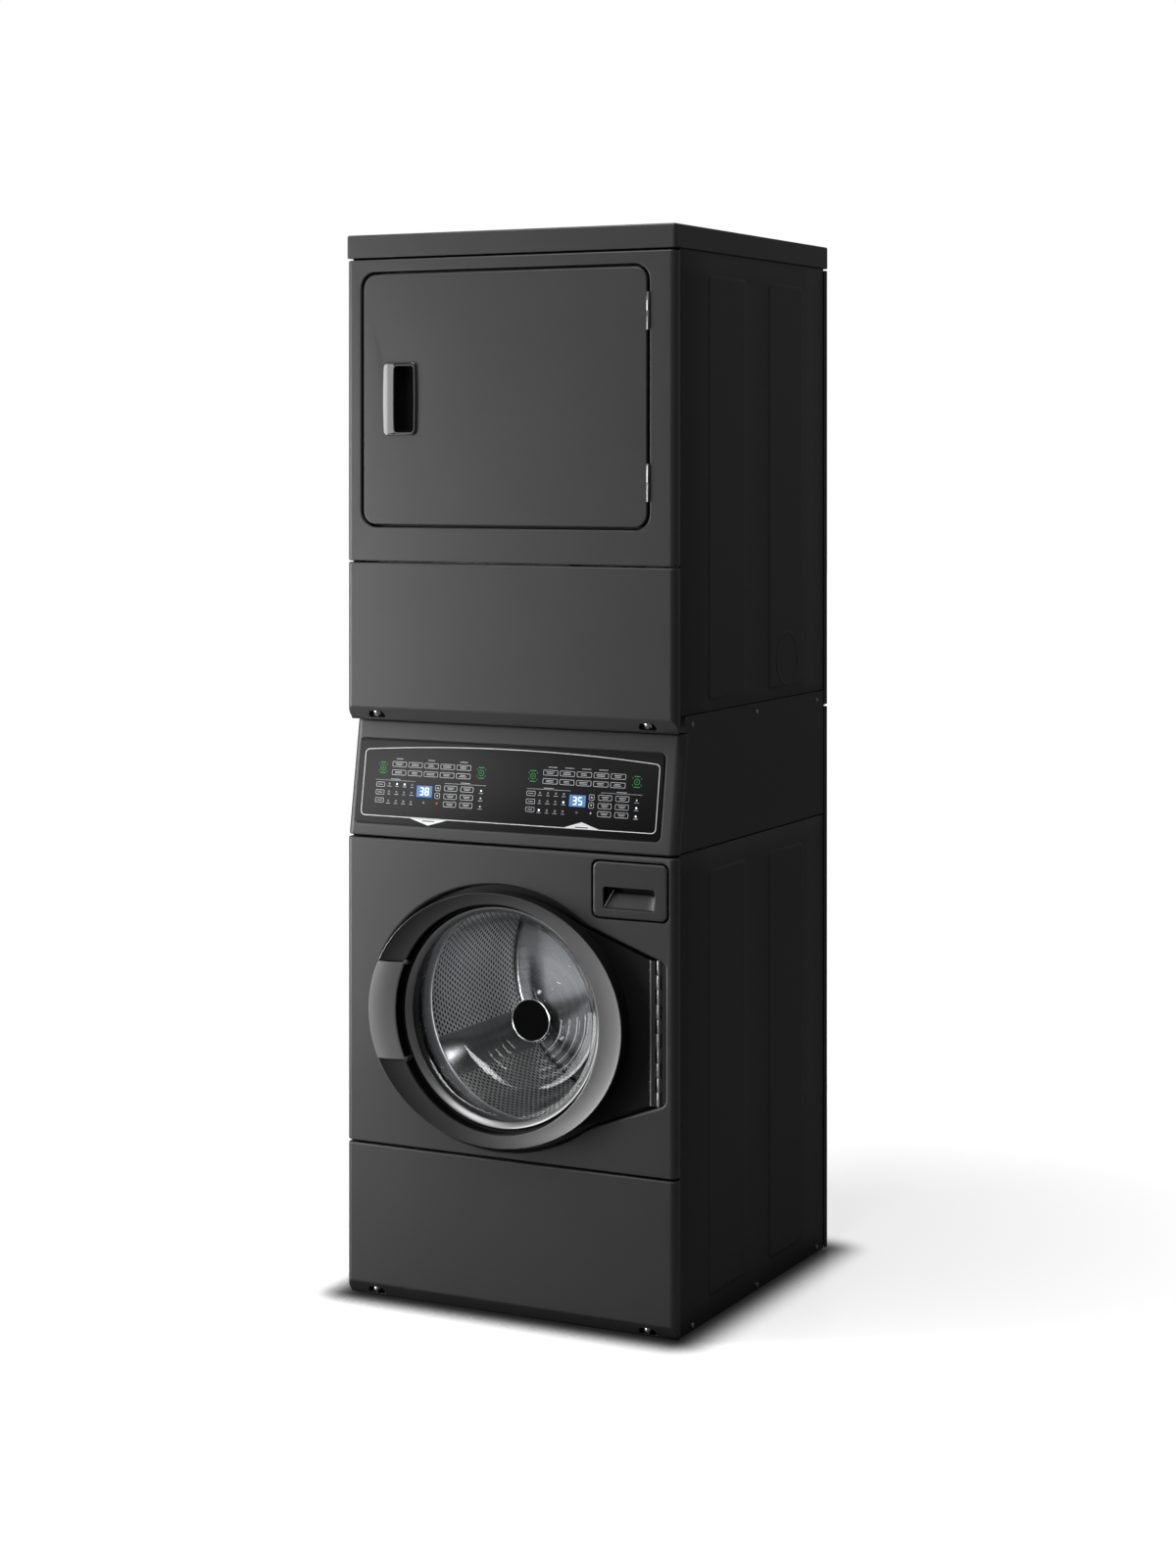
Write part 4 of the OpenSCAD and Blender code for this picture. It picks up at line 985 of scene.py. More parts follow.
def handle_section():
    """Domed outside of the grip, and its hollow back."""
    outside = [(0.0, -15.6), (0.006, -16.8), (0.03, -17.8)]
    for i in range(1, 12):
        t = i / 12
        outside.append((0.03 + 0.93 * t, -17.8 - 7.4 * t - 17.0 * t * (1 - t) * (0.55 + 0.75 * t)))
    outside += [(0.975, -25.4), (0.995, -24.2), (1.0, -22.4), (0.985, -8.0), (0.97, 6.0)]
    inside_pts = [(0.93, 6.0), (0.94, -18.0), (0.8, -24.0), (0.5, -24.0), (0.2, -18.0), (0.03, -13.4),
                  (0.008, -13.8)]
    return outside + inside_pts


BOWL_RINGS = ((44, 131.2), (70, 130.2), (86, 129.4), (104, 127.6), (122, 125.0))


def washer_door():
    """Door ring, grip, glass bowl and the frame behind them."""
    ring = swept_band(ring_section(), HANDLE_H + 0.6, 176, False)
    obj = piece("door_ring", ring, DOOR_PLASTIC, "washer_door",
                ("washer_door_ring",), weld=0.01)
    soften(obj, 0.8, 2, 50)
    even_normals(obj)
    grip = swept_band(handle_section(), HANDLE_H - 0.4, 32, True)
    obj = piece("door_grip", grip, PALE_PLASTIC_AND_HIGHLIGHT, "washer_door",
                ("washer_door_handle",), weld=0.01)
    soften(obj, 0.8, 2, 50)
    even_normals(obj)
    shape = Shape()
    for sign in (-1, 1):
        x, y, z = ring_point(180 - sign * cut_angle(0, HANDLE_H), -0.02, 0)
        loops = [disc(x, FRONT + d, z, r, 24)
                 for r, d in ((0.5, -15.5), (4.2, -15.5), (5.0, -14.6), (5.0, 5.5))]
        shape.strip(loops)
        shape.fill(loops[0])
        shape.fill(loops[-1])
    piece("door_grip_bosses", shape, MATT, "washer_door", weld=0.01)
    clamp = [(202.4, 8.0), (202.4, 4.6), (201.9, 3.9), (201.0, 3.8), (199.6, 4.6), (196.6, 7.6),
             (193.6, 11.2),
             (192.4, 12.8), (191.6, 14.4), (191.5, 15.9), (201.0, 15.9), (201.4, 8.0)]
    sleeve = lathe([(209.6, FRONT - 12.4), (209.1, FRONT - 12.2), (208.8, FRONT - 10), (208.8, FRONT + 6.4),
                    (209.6, FRONT + 6.4)], front_of(DOOR), 144, True)
    piece("door_ring_sleeve", sleeve, DEEP_BLACK_AND_SHADE, "washer_door", weld=0.01)
    trim = lathe([(r, FRONT + y) for r, y in clamp], front_of(DOOR), 144, True)
    piece("door_clamp_ring", trim, CLAMP, "washer_door", ("washer_door_trim",))
    bowl = [(201.5, 16.1), (201.5, 19.9), (188.0, 19.9), (184.4, 22.5), (182.6, 30), (180.0, 48),
            (176.4, 68),
            (172.0, 88), (167.5, 101), (160.5, 112), (150.0, 120.5), (134.0, 126.8), (112, 131.0),
            (80, 134.2),
            (40, 135.7), (0.2, 136.0)]
    inner = [(0.2, 131.6), (38, 131.3)]
    for r, y in BOWL_RINGS:
        inner += [(r - 5, y), (r - 3.2, y - 0.9), (r - 1, y - 2.6), (r + 1, y - 2.6), (r + 3.2, y - 0.9),
                  (r + 5, y)]
    inner += [(147.6, 116.6), (157.0, 109.2), (163.4, 99.2), (167.8, 86.6), (172.2, 67.2), (175.8, 47.4),
              (178.6, 28.6), (181.0, 19.0), (185.0, 16.1)]
    glass = lathe([(r, FRONT + y) for r, y in bowl + inner], front_of(DOOR), 144, True)
    sink(glass)
    piece("door_bowl", glass, GLASS, "washer_door", ("washer_door_glass",))
    cap_lens = lathe([(0.2, FRONT + 131.2), (36, FRONT + 131.0), (38, FRONT + 130.6), (38, FRONT + 129.8),
                      (36, FRONT + 129.4), (0.2, FRONT + 129.2)], front_of(DOOR), 64)
    sink(cap_lens)
    piece("door_bowl_centre", cap_lens, DEEP_BLACK_AND_SHADE, "washer_door", weld=0.01)
    rim = lathe([(38.2, FRONT + 131.4), (38.2, FRONT + 129.4), (39.2, FRONT + 128.4), (40.4, FRONT + 129.4),
                 (40.4, FRONT + 131.4)], front_of(DOOR), 64, True)
    sink(rim)
    piece("door_bowl_rim", rim, CHROME, "washer_door", weld=0.01)
    door_back()


def sink(shape):
    """The deepest part of the glass lies a little below the door's axis."""
    reach = 165.0
    for i, (x, y, z) in enumerate(shape.verts):
        r = math.hypot(x - DOOR.x, z - DOOR.z)
        if y > FRONT + 90 and r < reach:
            share = 1 - (r / reach) ** 2
            shape.verts[i] = (x - 4.0 * share, y, z - 28.0 * share)


def front_of(centre):
    """The lathe's profiles are measured from the front plane."""
    return Vector((centre.x, 0, centre.z))


def door_back():
    """Back frame of the door with the wing that reaches to the hinge."""
    wing_outline = star_outline(RING_A - 4, RING_B - 4, WING_X - 4, WING_H - 7, 8.0)
    loops = []
    for g, d in ((-2.2, 0), (-1.1, 0.3), (-0.3, 1.1), (0, 2.2)):
        loops.append(at_depth(offset_loop(wing_outline, g), FRONT + 6 + d))
    loops.append(at_depth(wing_outline, FRONT + 18))
    loops.append(at_depth(offset_loop(wing_outline, -2), FRONT + 20))
    shape = Shape()
    shape.strip(loops)
    step = at_depth(circle(205.4, 144), FRONT + 6)
    shape.flat(loops[0], [step], (0, FRONT + 6, 0))
    hole = [at_depth(circle(r, 144), FRONT + d)
            for r, d in ((205.4, 6), (205.4, 8.2), (202, 8.2), (202, 20))]
    shape.strip(hole)
    shape.flat(loops[-1], [hole[-1]], (0, FRONT + 20, 0))
    obj = piece("door_frame", shape, WING, "washer_door",
                ("washer_door_frame",), weld=0.01)
    even_normals(obj)


# ---------- drum ----------

DRUM_R = (high("washer_drum").x - low("washer_drum").x) / 2
DRUM_Y1 = high("washer_drum").y          # back end of the drum
LIFTERS = 3
HOLE_PITCH = 11.0
HOLE_R = 4.35


def perforated_sector(name, first_deg, last_deg, y0, y1):
    """A sector of the drum wall with staggered holes; every hole is real."""
    r = DRUM_R - 0.6
    rows = int((y1 - y0) / (HOLE_PITCH * 0.87))
    cols = int(r * math.radians(last_deg - first_deg) / HOLE_PITCH)
    shape = Shape()
    dy = (y1 - y0) / rows
    da = math.radians(last_deg - first_deg) / cols

    def at(a, y):
        return (DOOR.x + r * math.cos(a), y, DOOR.z + r * math.sin(a))

    a0 = math.radians(first_deg)
    for j in range(rows):
        shift = 0.5 * (j % 2)
        for i in range(cols - j % 2):
            ca, cy = a0 + (i + 0.5 + shift) * da, y0 + (j + 0.5) * dy
            ha, hy = da / 2, dy / 2
            outer = [(ca + ha, cy - hy), (ca + ha, cy + hy), (ca, cy + hy), (ca - ha, cy + hy),
                     (ca - ha, cy - hy),
                     (ca, cy - hy)]
            ring = [(ca + HOLE_R / r * math.cos(math.radians(t)), cy + HOLE_R * math.sin(math.radians(t)))
                    for t in (-35, 35, 90, 145, 215, 270)]
            o = shape.add([at(*p) for p in outer])
            q = shape.add([at(*p) for p in ring])
            for k in range(6):
                m = (k + 1) % 6
                shape.faces.append((o[k], o[m], q[m], q[k]))
        if j % 2:
            y = y0 + j * dy
            for s in (a0, a0 + cols * da - da / 2):
                shape.fill([at(s, y), at(s + da / 2, y), at(s + da / 2, y + dy), at(s, y + dy)])
    obj = piece(name, shape, DRUM, "washer_basket", weld=0.05, smooth=True)
    solidify(obj, 0.8, 0)


def drum():
    """Perforated wall, rolled front lip and pressed back of the washer drum."""
    span = 360 / LIFTERS
    y0, y1 = FRONT + 146, DRUM_Y1 - 12
    for i in range(LIFTERS):
        perforated_sector("drum_wall_%d" % (i + 1), 90 + span * i, 90 + span * (i + 1), y0, y1)
    r = DRUM_R
    lip = [(204.0, 110), (204.4, 108.4), (206, 107.6), (212, 107.6), (236, 109), (248, 112), (256, 117.6),
           (260.4, 124), (r, 131), (r, 146), (r - 1.2, 146), (r - 1.2, 131.4), (259, 124.6), (255, 118.8),
           (247.4, 113.4), (236, 110.4), (212, 109), (207, 109.4), (205.2, 110.8)]
    obj = lathe([(a, FRONT + b) for a, b in lip], front_of(DOOR), 144, True)
    # The lip takes the darker copy of the drum steel: painted shade.
    piece("drum_lip", obj, LIFTER_SHADED_STEEL, "washer_basket", ("washer_drum",), weld=0.01)
    back_plate()
    lifters()


def disc(x, y, z, r, count):
    """Circle of points round an axis that runs front to back."""
    turns = [2 * math.pi * i / count for i in range(count)]
    return [(x + r * math.cos(a), y, z + r * math.sin(a)) for a in turns]


def pressing(r, turn):
    """How far a lobe of the drum's back stands forward; turn is the angle from its middle."""
    edge = min(1, max(0, (232 - r) / 34)) * min(1, max(0, (r - 44) / 20))
    return 22 * edge * (0.5 + 0.5 * math.cos(3 * turn)) ** 0.8


def back_plate():
    """The drum's back: a flat outer band, three pressed lobes and a sunk hub."""
    shape = Shape()
    radii = [0.5, 20, 36, 38, 40, 43, 48, 54, 62, 72, 84, 98, 112, 126, 140, 154, 168, 182, 196, 210, 222,
             232, 240,
             248, 255, 259, 261]
    steps = 144
    loops = []
    for r in radii:
        loop = []
        for i in range(steps):
            a = 2 * math.pi * i / steps
            y = DRUM_Y1 - 2.5 - pressing(r, a - math.radians(90))
            if r < 41:
                y = DRUM_Y1 - 3.5 - 9 * (1 - (r / 41) ** 2) * 0.4
            if 38 <= r <= 46:
                y -= 3.0
            if r > 255:
                y -= (r - 255) * 1.1
            loop.append((DOOR.x + r * math.cos(a), y, DOOR.z + r * math.sin(a)))
        loops.append(loop)
    loops.append(disc(DOOR.x, DRUM_Y1 - 12, DOOR.z, DRUM_R - 0.6, steps))
    shape.strip(loops)
    shape.fill(loops[0])
    # The back plate takes the darker copy of the drum steel: painted shade.
    obj = piece("drum_back", shape, BACK_SHADED_STEEL, "washer_basket", weld=0.01)
    solidify(obj, 0.9, 0)
    rivets = Shape()
    for lobe in range(3):
        for turn, r in ((-14, 205), (14, 205), (0, 232), (-60, 150)):
            a = math.radians(90 + 120 * lobe + turn)
            cx, cz = DOOR.x + r * math.cos(a), DOOR.z + r * math.sin(a)
            y = DRUM_Y1 - 3 - pressing(r, math.radians(turn))
            loops = [disc(cx, y - d, cz, q, 16)
                     for q, d in ((6.5, -1.5), (6.5, 0.4), (5.6, 1.4), (3.6, 2.2), (1.2, 2.5))]
            rivets.strip(loops)
            rivets.fill(loops[-1])
            rivets.fill(loops[0])
    piece("drum_rivets", rivets, CHROME, "washer_basket", weld=0.01)
    hub = lathe([(0.2, -9), (20, -9), (30, -8.6), (34, -7.6), (35.5, -6), (35.5, -1), (0.2, -1)],
                front_of(DOOR), 48, True)
    hub.verts = [(x, y + DRUM_Y1 - 2, z) for x, y, z in hub.verts]
    piece("drum_hub_cap", hub, MATT, "washer_basket", weld=0.01)


def lifters():
    """Three hollow lifters with a rounded crest, in a darker copy of the drum steel: painted shade."""
    shape = Shape()
    y0, y1 = low("drum_lifters").y, high("drum_lifters").y
    for n in range(LIFTERS):
        a = math.radians(90 + 120 * n)
        radial, tangent = Vector((math.cos(a), 0, math.sin(a))), Vector((-math.sin(a), 0, math.cos(a)))
        centre = front_of(DOOR)
        loops = []
        stations = 14
        for j in range(stations + 1):
            t = j / stations
            y = y0 + (y1 - y0) * t
            end = min(1.0, min(t, 1 - t) * 9)
            height = 62 * math.sqrt(max(0.02, end * (2 - end)))
            loop = []
            for i in range(17):
                s = -1 + i / 8
                wide = 40 * s
                h = height * (1 - abs(s) ** 2.6)
                base = math.sqrt((DRUM_R - 1.6) ** 2 - wide ** 2)
                across = wide * (0.72 + 0.28 * abs(s))
                loop.append(centre + radial * (base - h) + tangent * across + Vector((0, y, 0)))
            loops.append(loop)
        shape.strip(loops, closed=False)
        shape.fill(loops[0])
        shape.fill(loops[-1])
    obj = piece("drum_lifter_set", shape, LIFTER_SHADED_STEEL, "washer_basket", ("drum_lifters",),
                weld=0.01)
    solidify(obj, 1.0, 0)


def gasket():
    """Rubber bellows between the front panel and the tub."""
    profile = [(230, 27.8), (230.5, 33.6), (226, 35), (218.5, 40), (212.5, 47), (212, 53), (217, 59),
               (224, 63),
               (227, 69), (227, 98), (222.6, 98), (222.6, 70), (219, 64.5), (209.5, 58), (205.6, 50.5),
               (208, 42),
               (214, 36.6), (208, 35), (202.4, 33.6), (200.8, 31), (201.4, 28.6), (203.6, 28), (214, 30),
               (219, 27.8)]
    obj = lathe([(r, FRONT + y) for r, y in profile], front_of(DOOR), 144, True)
    piece("gasket", obj, RUBBER, "cabinet", ("door_gasket",), weld=0.01)


# ---------- dispenser ----------

def dispenser():
    """Drawer front with its finger pocket, lined near-black as painted shade, its scoop, and a pale rib
    that is a painted highlight.
    """
    lo, hi = low("dispenser_front"), high("dispenser_front")
    cx, cz = (lo.x + hi.x) / 2, (lo.z + hi.z) / 2
    w, h = hi.x - lo.x, hi.z - lo.z
    y = lo.y
    shape = Shape()
    outer = []
    for g, d in roll(3.5):
        outer.append(at_depth(rounded(w - 2 * g, h - 2 * g, 12 - g, cx, cz), y + d))
    outer.append(at_depth(rounded(w, h, 12, cx, cz), hi.y))
    shape.strip(outer)
    shape.fill(outer[-1])
    px0, px1, pz0, pz1 = cx - 53, cx + 49, cz - 34, cz + 5

    def pocket(inset, top, depth):
        """Outline of the pocket at a depth, set in left, right and below, its upper edge raised by top."""
        x0, x1, z0, z1 = px0 + inset, px1 - inset, pz0 + inset, pz1 + top
        return at_depth(rounded(x1 - x0, z1 - z0, 5, (x0 + x1) / 2, (z0 + z1) / 2, 5), y + depth)

    mouth = [pocket(-1.2, 1.2, 0), pocket(-0.4, 0.4, 0.4), pocket(0, 0, 1.4), pocket(0.2, 0, 3.0)]
    shape.flat(outer[0], [mouth[0]], (0, y, 0))
    shape.strip(mouth)
    # The pocket's inner walls are near-black: painted shade in the recess.
    slot = Shape()
    slot.strip([mouth[-1], pocket(0.4, 3, 12.0), pocket(1, 5, 19.0)])
    slot.fill(pocket(1, 5, 19.0))
    piece("dispenser_pocket", slot, DEEP_BLACK_AND_SHADE, "dispenser", weld=0.01)
    scoop = Shape()
    rows = []
    for j in range(9):
        t = j / 8
        z = pz0 + 0.6 + 27.5 * t
        depth = 2.2 + 11.5 * t ** 1.25
        left, right = px0 + 1.0 + 15.5 * t, px1 - 0.6 - 1.2 * t
        row = [(left - 1.6, y + depth + 1.6, z), (left - 0.9, y + depth - 0.9, z),
               (left + 0.6, y + depth - 1.8, z),
               (left + 2.2, y + depth - 0.6, z), (left + 3.6, y + depth, z)]
        row += [(left + 3.6 + (right - left - 7) * k / 6, y + depth, z) for k in range(1, 7)]
        row += [(right - 1.8, y + depth - 0.8, z), (right - 0.6, y + depth - 2.2, z),
                (right, y + depth - 2.6, z)]
        rows.append(row)
    scoop.strip(rows, closed=False)
    # The rib's pale plastic stands for the bright line along the pocket's left edge: painted highlight.
    rib = Shape()
    ends = (Vector((px0 + 2.2, y + 1.6, pz0 + 3.0)), Vector((px0 + 17.0, y + 10.0, pz0 + 33.5)))
    along = (ends[1] - ends[0]).normalized()
    side = along.cross(Vector((0, 1, 0))).normalized()
    up = side.cross(along)
    rings = []
    for t, r in ((0, 0.3), (0, 0.9), (0.03, 1.3), (0.97, 1.3), (1, 0.9), (1, 0.3)):
        centre = ends[0].lerp(ends[1], t)
        rings.append([centre + side * (r * math.cos(math.pi * i / 6)) + up * (r * math.sin(math.pi * i / 6))
                      for i in range(12)])
    rib.strip(rings)
    piece("dispenser_rib", rib, PALE_PLASTIC_AND_HIGHLIGHT, "dispenser", weld=0.01)
    panel = piece("dispenser_scoop", scoop, DISPENSER_PLASTIC, "dispenser",
                  weld=0.01)
    solidify(panel, 1.0)
    obj = piece("dispenser_face", shape, DISPENSER_PLASTIC, "dispenser",
                ("dispenser_front",), weld=0.01)
    even_normals(obj)


# ---------- dryer door ----------

def dryer_door():
    """Outer skin of the dryer's door, and its pull."""
    lo, hi = low("dryer_door_panel"), high("dryer_door_panel")
    cx, cz = (lo.x + hi.x) / 2, (lo.z + hi.z) / 2
    w, h = hi.x - lo.x, hi.z - lo.z
    shape = Shape()
    loops = [at_depth(rounded(w - 2 * g, h - 2 * g, 25 - g, cx, cz, 10), FRONT + d) for g, d in roll(2.5)]
    loops.append(at_depth(rounded(w, h, 25, cx, cz, 10), FRONT + 18))
    shape.strip(loops)
    hl, hh = low("dryer_door_handle"), high("dryer_door_handle")
    hx, hz = (hl.x + hh.x) / 2, (hl.z + hh.z) / 2
    hole = at_depth(rounded(68, 131, 7, hx, hz), FRONT)
    shape.flat(loops[0], [hole], (0, FRONT, 0))
    obj = piece("dryer_door_skin", shape, COAT, "dryer_door", ("dryer_door_panel",), weld=0.01)
    solidify(obj, SHEET)
    even_normals(obj)
    dryer_handle(hx, hz, hl, hh)


def barrel(w, h, r, cx, cz, bulge, steps=10):
    """Rounded rectangle whose long sides bow out a little."""
    pts = []
    outline = rounded(w, h, r, 0, 0, 8)
    for i, (x, z) in enumerate(outline):
        nx, nz = outline[(i + 1) % len(outline)]
        count = steps if i in (17, 35) else 1
        for k in range(count):
            qx, qz = x + (nx - x) * k / count, z + (nz - z) * k / count
            push = bulge * max(0.0, 1 - (2 * qz / h) ** 2)
            pts.append((cx + qx + math.copysign(push, qx), cz + qz))
    return pts


def dryer_handle(hx, hz, hl, hh):
    """The pull let into the dryer's door: flange, raised lip and a pocket lined in near-black, the pull's
    own black darkened further as painted shade.
    """
    w, h = hh.x - hl.x, hh.z - hl.z
    y = hl.y

    def slope(loop, share):
        """The left flange falls away towards its outer edge."""
        return [(x, q + share * 2.7 * min(1, max(0, (hx - 12 - x) / 24)) ** 1.3, z) for x, q, z in loop]

    shape = Shape()
    loops = [slope(at_depth(barrel(w - 3 - 2 * g, h - 2 * g, 9 - g, hx, hz, 1.5), y + d), 1 - d / 3.2)
             for g, d in roll(3.2)]
    loops.append(at_depth(barrel(w - 3, h, 9, hx, hz, 1.5), y + 3.9))
    loops.append(at_depth(barrel(w - 9, h - 6, 6, hx, hz, 1.5), y + 4.2))
    loops.append(at_depth(barrel(w - 9, h - 6, 6, hx, hz, 1.5), hh.y))
    shape.strip(loops)
    shape.fill(loops[-1])
    px, pz, pw, ph = hx + 9.5, hz - 0.7, 42, 125
    mouth = [at_depth(barrel(pw + 2 * g, ph + 2 * g, 7 + g, px, pz, 1.0), y + d)
             for g, d in ((0.9, 0.0), (0.3, 0.3), (0, 1.0), (-0.4, 3.0))]
    crest = hx - 12
    front = [p for p in loops[0] if p[0] > crest]
    top_right, low_right = front[:len(front) // 2], front[len(front) // 2:]
    first, last = max(top_right, key=lambda p: p[2]), min(low_right, key=lambda p: p[2])
    fold_top, fold_low = (crest, y, first[2]), (crest, y, last[2])
    left = [p for p in loops[0] if p[0] <= crest]
    upper = [p for p in front if p[2] >= hz]
    lower = [p for p in front if p[2] < hz]
    shape.flat([tuple(p) for p in upper + [fold_top, fold_low] + lower], [mouth[0]], (0, y, 0))
    shape.slab([fold_top] + left + [fold_low])
    shape.strip(mouth)
    # The lining is near-black matt: the pull's own black, darkened as painted shade in the pocket.
    lining = Shape()
    lining.strip([mouth[-1], at_depth(barrel(pw - 3, ph - 4, 6, px, pz, 1.0), y + 9),
                  at_depth(barrel(pw - 8, ph - 8, 6, px + 2, pz, 1.0), y + 15.5),
                  at_depth(barrel(pw - 14, ph - 14, 6, px + 3, pz, 1.0), y + 16.6)])
    lining.fill(at_depth(barrel(pw - 14, ph - 14, 6, px + 3, pz, 1.0), y + 16.6))
    lip = Shape()
    lip.strip([at_depth(barrel(pw + 2 * g, ph + 2 * g, 7 + g, px, pz, 1.0), y + d)
               for g, d in ((1.5, 0.3), (1.4, -0.4), (0.9, -0.8), (0.3, -0.6), (-0.1, 0.2), (-0.2, 1.4))])
    piece("dryer_grip_lip", lip, PALE_PLASTIC_AND_HIGHLIGHT, "dryer_door", weld=0.01)
    piece("dryer_grip_lining", lining, DEEP_BLACK_AND_SHADE, "dryer_door", weld=0.01)
    obj = piece("dryer_grip", shape, GLOSS, "dryer_door", ("dryer_door_handle",),
                weld=0.01)
    even_normals(obj)


# ---------- carried-over CAD nodes ----------

# The rear panels, control housing and dryer base take the darker side copy of the paint: painted shade.
CAD_LOOKS = {
    "washer_base": ZINC, "levelling_feet": RUBBER, "washer_rear_panel": SIDE_SHADED_COAT, "washer_tub": TUB,
    "counterweights": IRON, "tub_suspension": ZINC, "washer_motor": MOTOR, "drain_pump": MATT,
    "hose_connectors": FITTING, "dispenser_housing": MATT, "door_catches": MATT, "drive_belts": RUBBER,
    "control_housing": SIDE_SHADED_COAT, "control_boards": BOARD, "hinge_frames": LEAF, "panel_screws": ZINC,
    "dryer_base": SIDE_SHADED_COAT, "dryer_rear_panel": SIDE_SHADED_COAT, "front_bulkhead": ZINC, "rear_bulkhead": ZINC,
    "dryer_motor": MOTOR, "blower_housing": ZINC, "heater_box": ZINC, "washer_door_hardware": LEAF,
    "dispenser_drawer": MATT, "drum_spider": STEEL, "drum_pulley": STEEL, "motor_pulley": ZINC,
    "pump_impeller": MATT, "dryer_door_liner": COAT, "dryer_door_hardware": CHROME, "dryer_drum": DRUM,
    "drum_baffles": DRUM, "roller_left": RUBBER, "roller_right": RUBBER, "blower_wheel": MATT,
    "idler_wheel": MATT, "lint_filter": ZINC,
}


def dress_nodes():
    """Materials and softened edges for the CAD nodes that stay visible."""
    for name, mat in CAD_LOOKS.items():
        obj = NODES[name]
        obj.data.materials.clear()
        obj.data.materials.append(mat)
        weld = obj.modifiers.new("weld", "WELD")
        weld.merge_threshold = 0.00001
        soften(obj, 0.5, 2, 40).use_clamp_overlap = True


# ---------- stage ----------

def area_light(name, place, target, size, power):
    light = bpy.data.lights.new(name, "AREA")
    light.shape = "RECTANGLE"
    light.size, light.size_y = size
    light.energy = power
    obj = bpy.data.objects.new(name, light)
    bpy.context.scene.collection.objects.link(obj)
    obj.location = place
    obj.rotation_euler = (Vector(target) - Vector(place)).to_track_quat("-Z", "Y").to_euler()
    return obj


def contact_shade(tree, place):
    """Darkens the floor close to the cabinet's footprint: 0 at its edge, 1 a little way out."""
    out = place
    for operation, *values in (("ABSOLUTE",), ("SUBTRACT", (0.33, 0.335, 0)), ("MAXIMUM", (0, 0, 0))):
        out = worked(tree, operation, out, *values, vector=True, result="Vector")
    distance = worked(tree, "LENGTH", out, vector=True)
    return ranged(tree, distance, 0.02, 1.0, 0.0, 0.12, "SMOOTHERSTEP")


def floor_material():
    """Pale floor that brightens into the backdrop with distance from the middle."""
    mat = surface("stage_floor", (0.9, 0.9, 0.9), 0.28, grain=30, depth=0.00001, vary=0.005)
    tree = mat.node_tree
    shader = tree.nodes["Principled BSDF"]
    coords = tree.nodes.new("ShaderNodeTexCoord")
    reach = worked(tree, "LENGTH", coords.outputs["Object"], vector=True)
    fade = ranged(tree, reach, 0.68, 1.0, 0.6, 2.6, "SMOOTHSTEP")
    path = tree.nodes.new("ShaderNodeLightPath")
    seen = worked(tree, "MULTIPLY", fade, path.outputs["Is Camera Ray"])
    shader.inputs["Emission Color"].default_value = (1, 1, 1, 1)
    bounce = tree.nodes.new("ShaderNodeMix")
    bounce.data_type = "RGBA"
    bounce.inputs[6].default_value = (0.25, 0.25, 0.25, 1)
    tree.links.new(path.outputs["Is Camera Ray"], bounce.inputs["Factor"])
    tree.links.new(shader.inputs["Base Color"].links[0].from_socket, bounce.inputs[7])
    shade = contact_shade(tree, coords.outputs["Object"])
    dark = tree.nodes.new("ShaderNodeVectorMath")
    dark.operation = "SCALE"
    tree.links.new(bounce.outputs[2], dark.inputs[0])
    tree.links.new(shade, dark.inputs["Scale"])
    tree.links.new(dark.outputs["Vector"], shader.inputs["Base Color"])
    tree.links.new(worked(tree, "MULTIPLY", seen, shade), shader.inputs["Emission Strength"])
    return mat


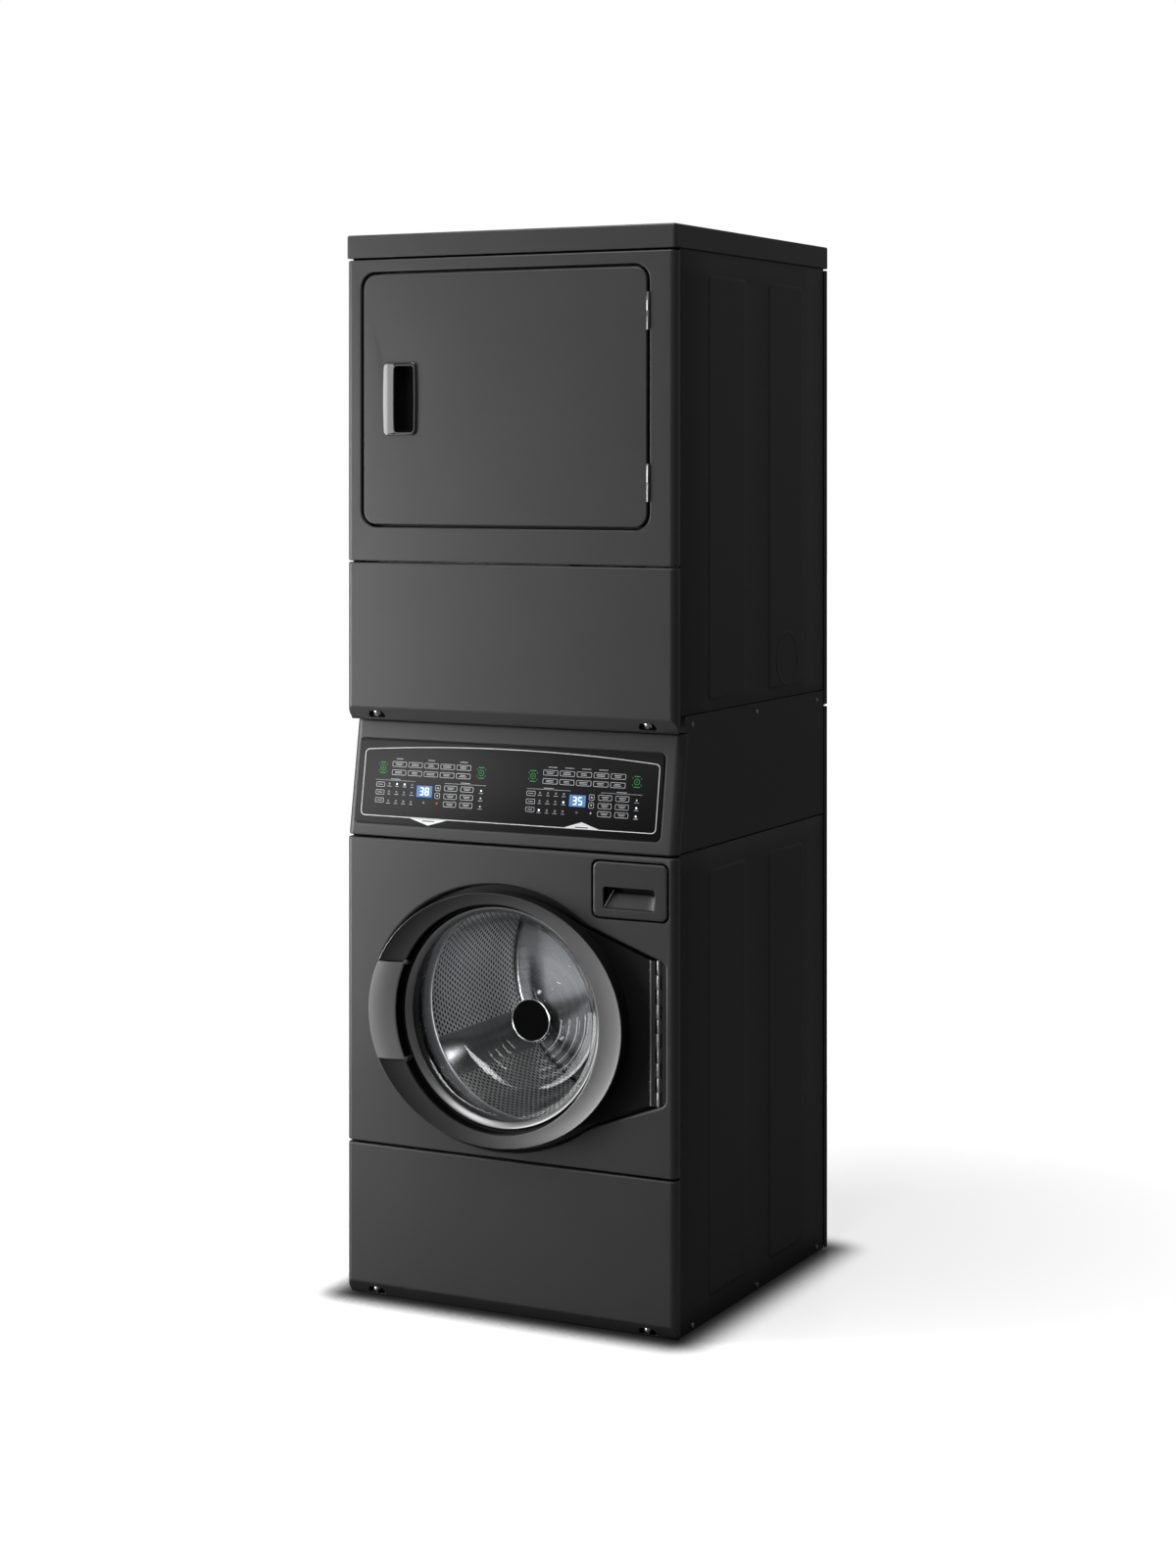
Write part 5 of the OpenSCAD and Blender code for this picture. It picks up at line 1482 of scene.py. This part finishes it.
def stage():
    """Floor, pale backdrop and the lamps that light everything."""
    bpy.ops.mesh.primitive_plane_add(size=60, location=(0, 0, 0))
    floor = bpy.context.object
    floor.name = "stage_floor"
    floor.data.materials.append(floor_material())
    world = bpy.data.worlds.new("studio")
    bpy.context.scene.world = world
    world.use_nodes = True
    tree = world.node_tree
    sky = tree.nodes["Background"]
    sky.inputs["Color"].default_value = (1, 1, 1, 1)
    sky.inputs["Strength"].default_value = 0.16
    white = tree.nodes.new("ShaderNodeBackground")
    white.inputs["Color"].default_value = (1, 1, 1, 1)
    white.inputs["Strength"].default_value = 1.0
    path = tree.nodes.new("ShaderNodeLightPath")
    mix = tree.nodes.new("ShaderNodeMixShader")
    tree.links.new(path.outputs["Is Camera Ray"], mix.inputs["Fac"])
    tree.links.new(sky.outputs["Background"], mix.inputs[1])
    tree.links.new(white.outputs["Background"], mix.inputs[2])
    tree.links.new(mix.outputs["Shader"], tree.nodes["World Output"].inputs["Surface"])
    area_light("key", (-1.75, -1.3, 1.05), (0, -0.35, 1.0), (1.0, 2.0), 51)
    area_light("front", (-1.6, -4.6, 2.2), (0, -0.3, 1.0), (1.8, 2.4), 3)
    area_light("top", (-0.4, -1.4, 4.2), (0, 0, 1.5), (2.2, 1.4), 70)


BACK_PARTS = ("washer_rear_panel", "dryer_rear_panel", "hose_connectors", "blower_housing", "panel_screws",
              "control_housing", "washer_base", "dryer_base", "top_cap")


def linked_lights():
    """Soft lamps that each reach only some pieces: drum, glass, door ring, and the machine's back."""
    lamps = [area_light("drum_fill", (1.5, -2.6, 1.0), (-0.1, 0.1, 0.5), (1.3, 1.0), 230),
             area_light("bowl_fill", (1.2, -1.6, 2.6), (0, -0.25, 0.5), (3.0, 1.4), 130),
             area_light("ring_fill", (-2.9, -1.15, 0.4), (0, -0.35, 0.5), (0.5, 1.4), 620),
             area_light("rear", (-0.9, 3.6, 2.6), (0, 0.3, 1.0), (2.0, 2.0), 60)]
    for lamp, names in zip(lamps, (("drum_", "door_bowl_rim"), ("door_bowl",), ("door_ring",), BACK_PARTS)):
        group = bpy.data.collections.new(lamp.name + "_reach")
        for obj in bpy.data.objects:
            if obj.name.startswith(names):
                group.objects.link(obj)
        lamp.light_linking.receiver_collection = group


make_camera()
stage()
washer_front()
dryer_front()
kick_front("washer_kick", "washer_lower_panel")
kick_front("dryer_kick", "dryer_lower_panel")
for side, sign in (("left", -1), ("right", 1)):
    side_sheet("washer_%s" % side, "washer_side_%s" % side, sign, (46, 822))
    side_sheet("dryer_%s" % side, "dryer_side_%s" % side, sign, (1126, 1900))
side_knockout()
cap()
console()
overlay()
washer_door()
drum()
gasket()
dispenser()
dryer_door()
dress_nodes()
linked_lights()

bpy.context.scene.view_settings.view_transform = "Standard"

bpy.context.view_layer.update()
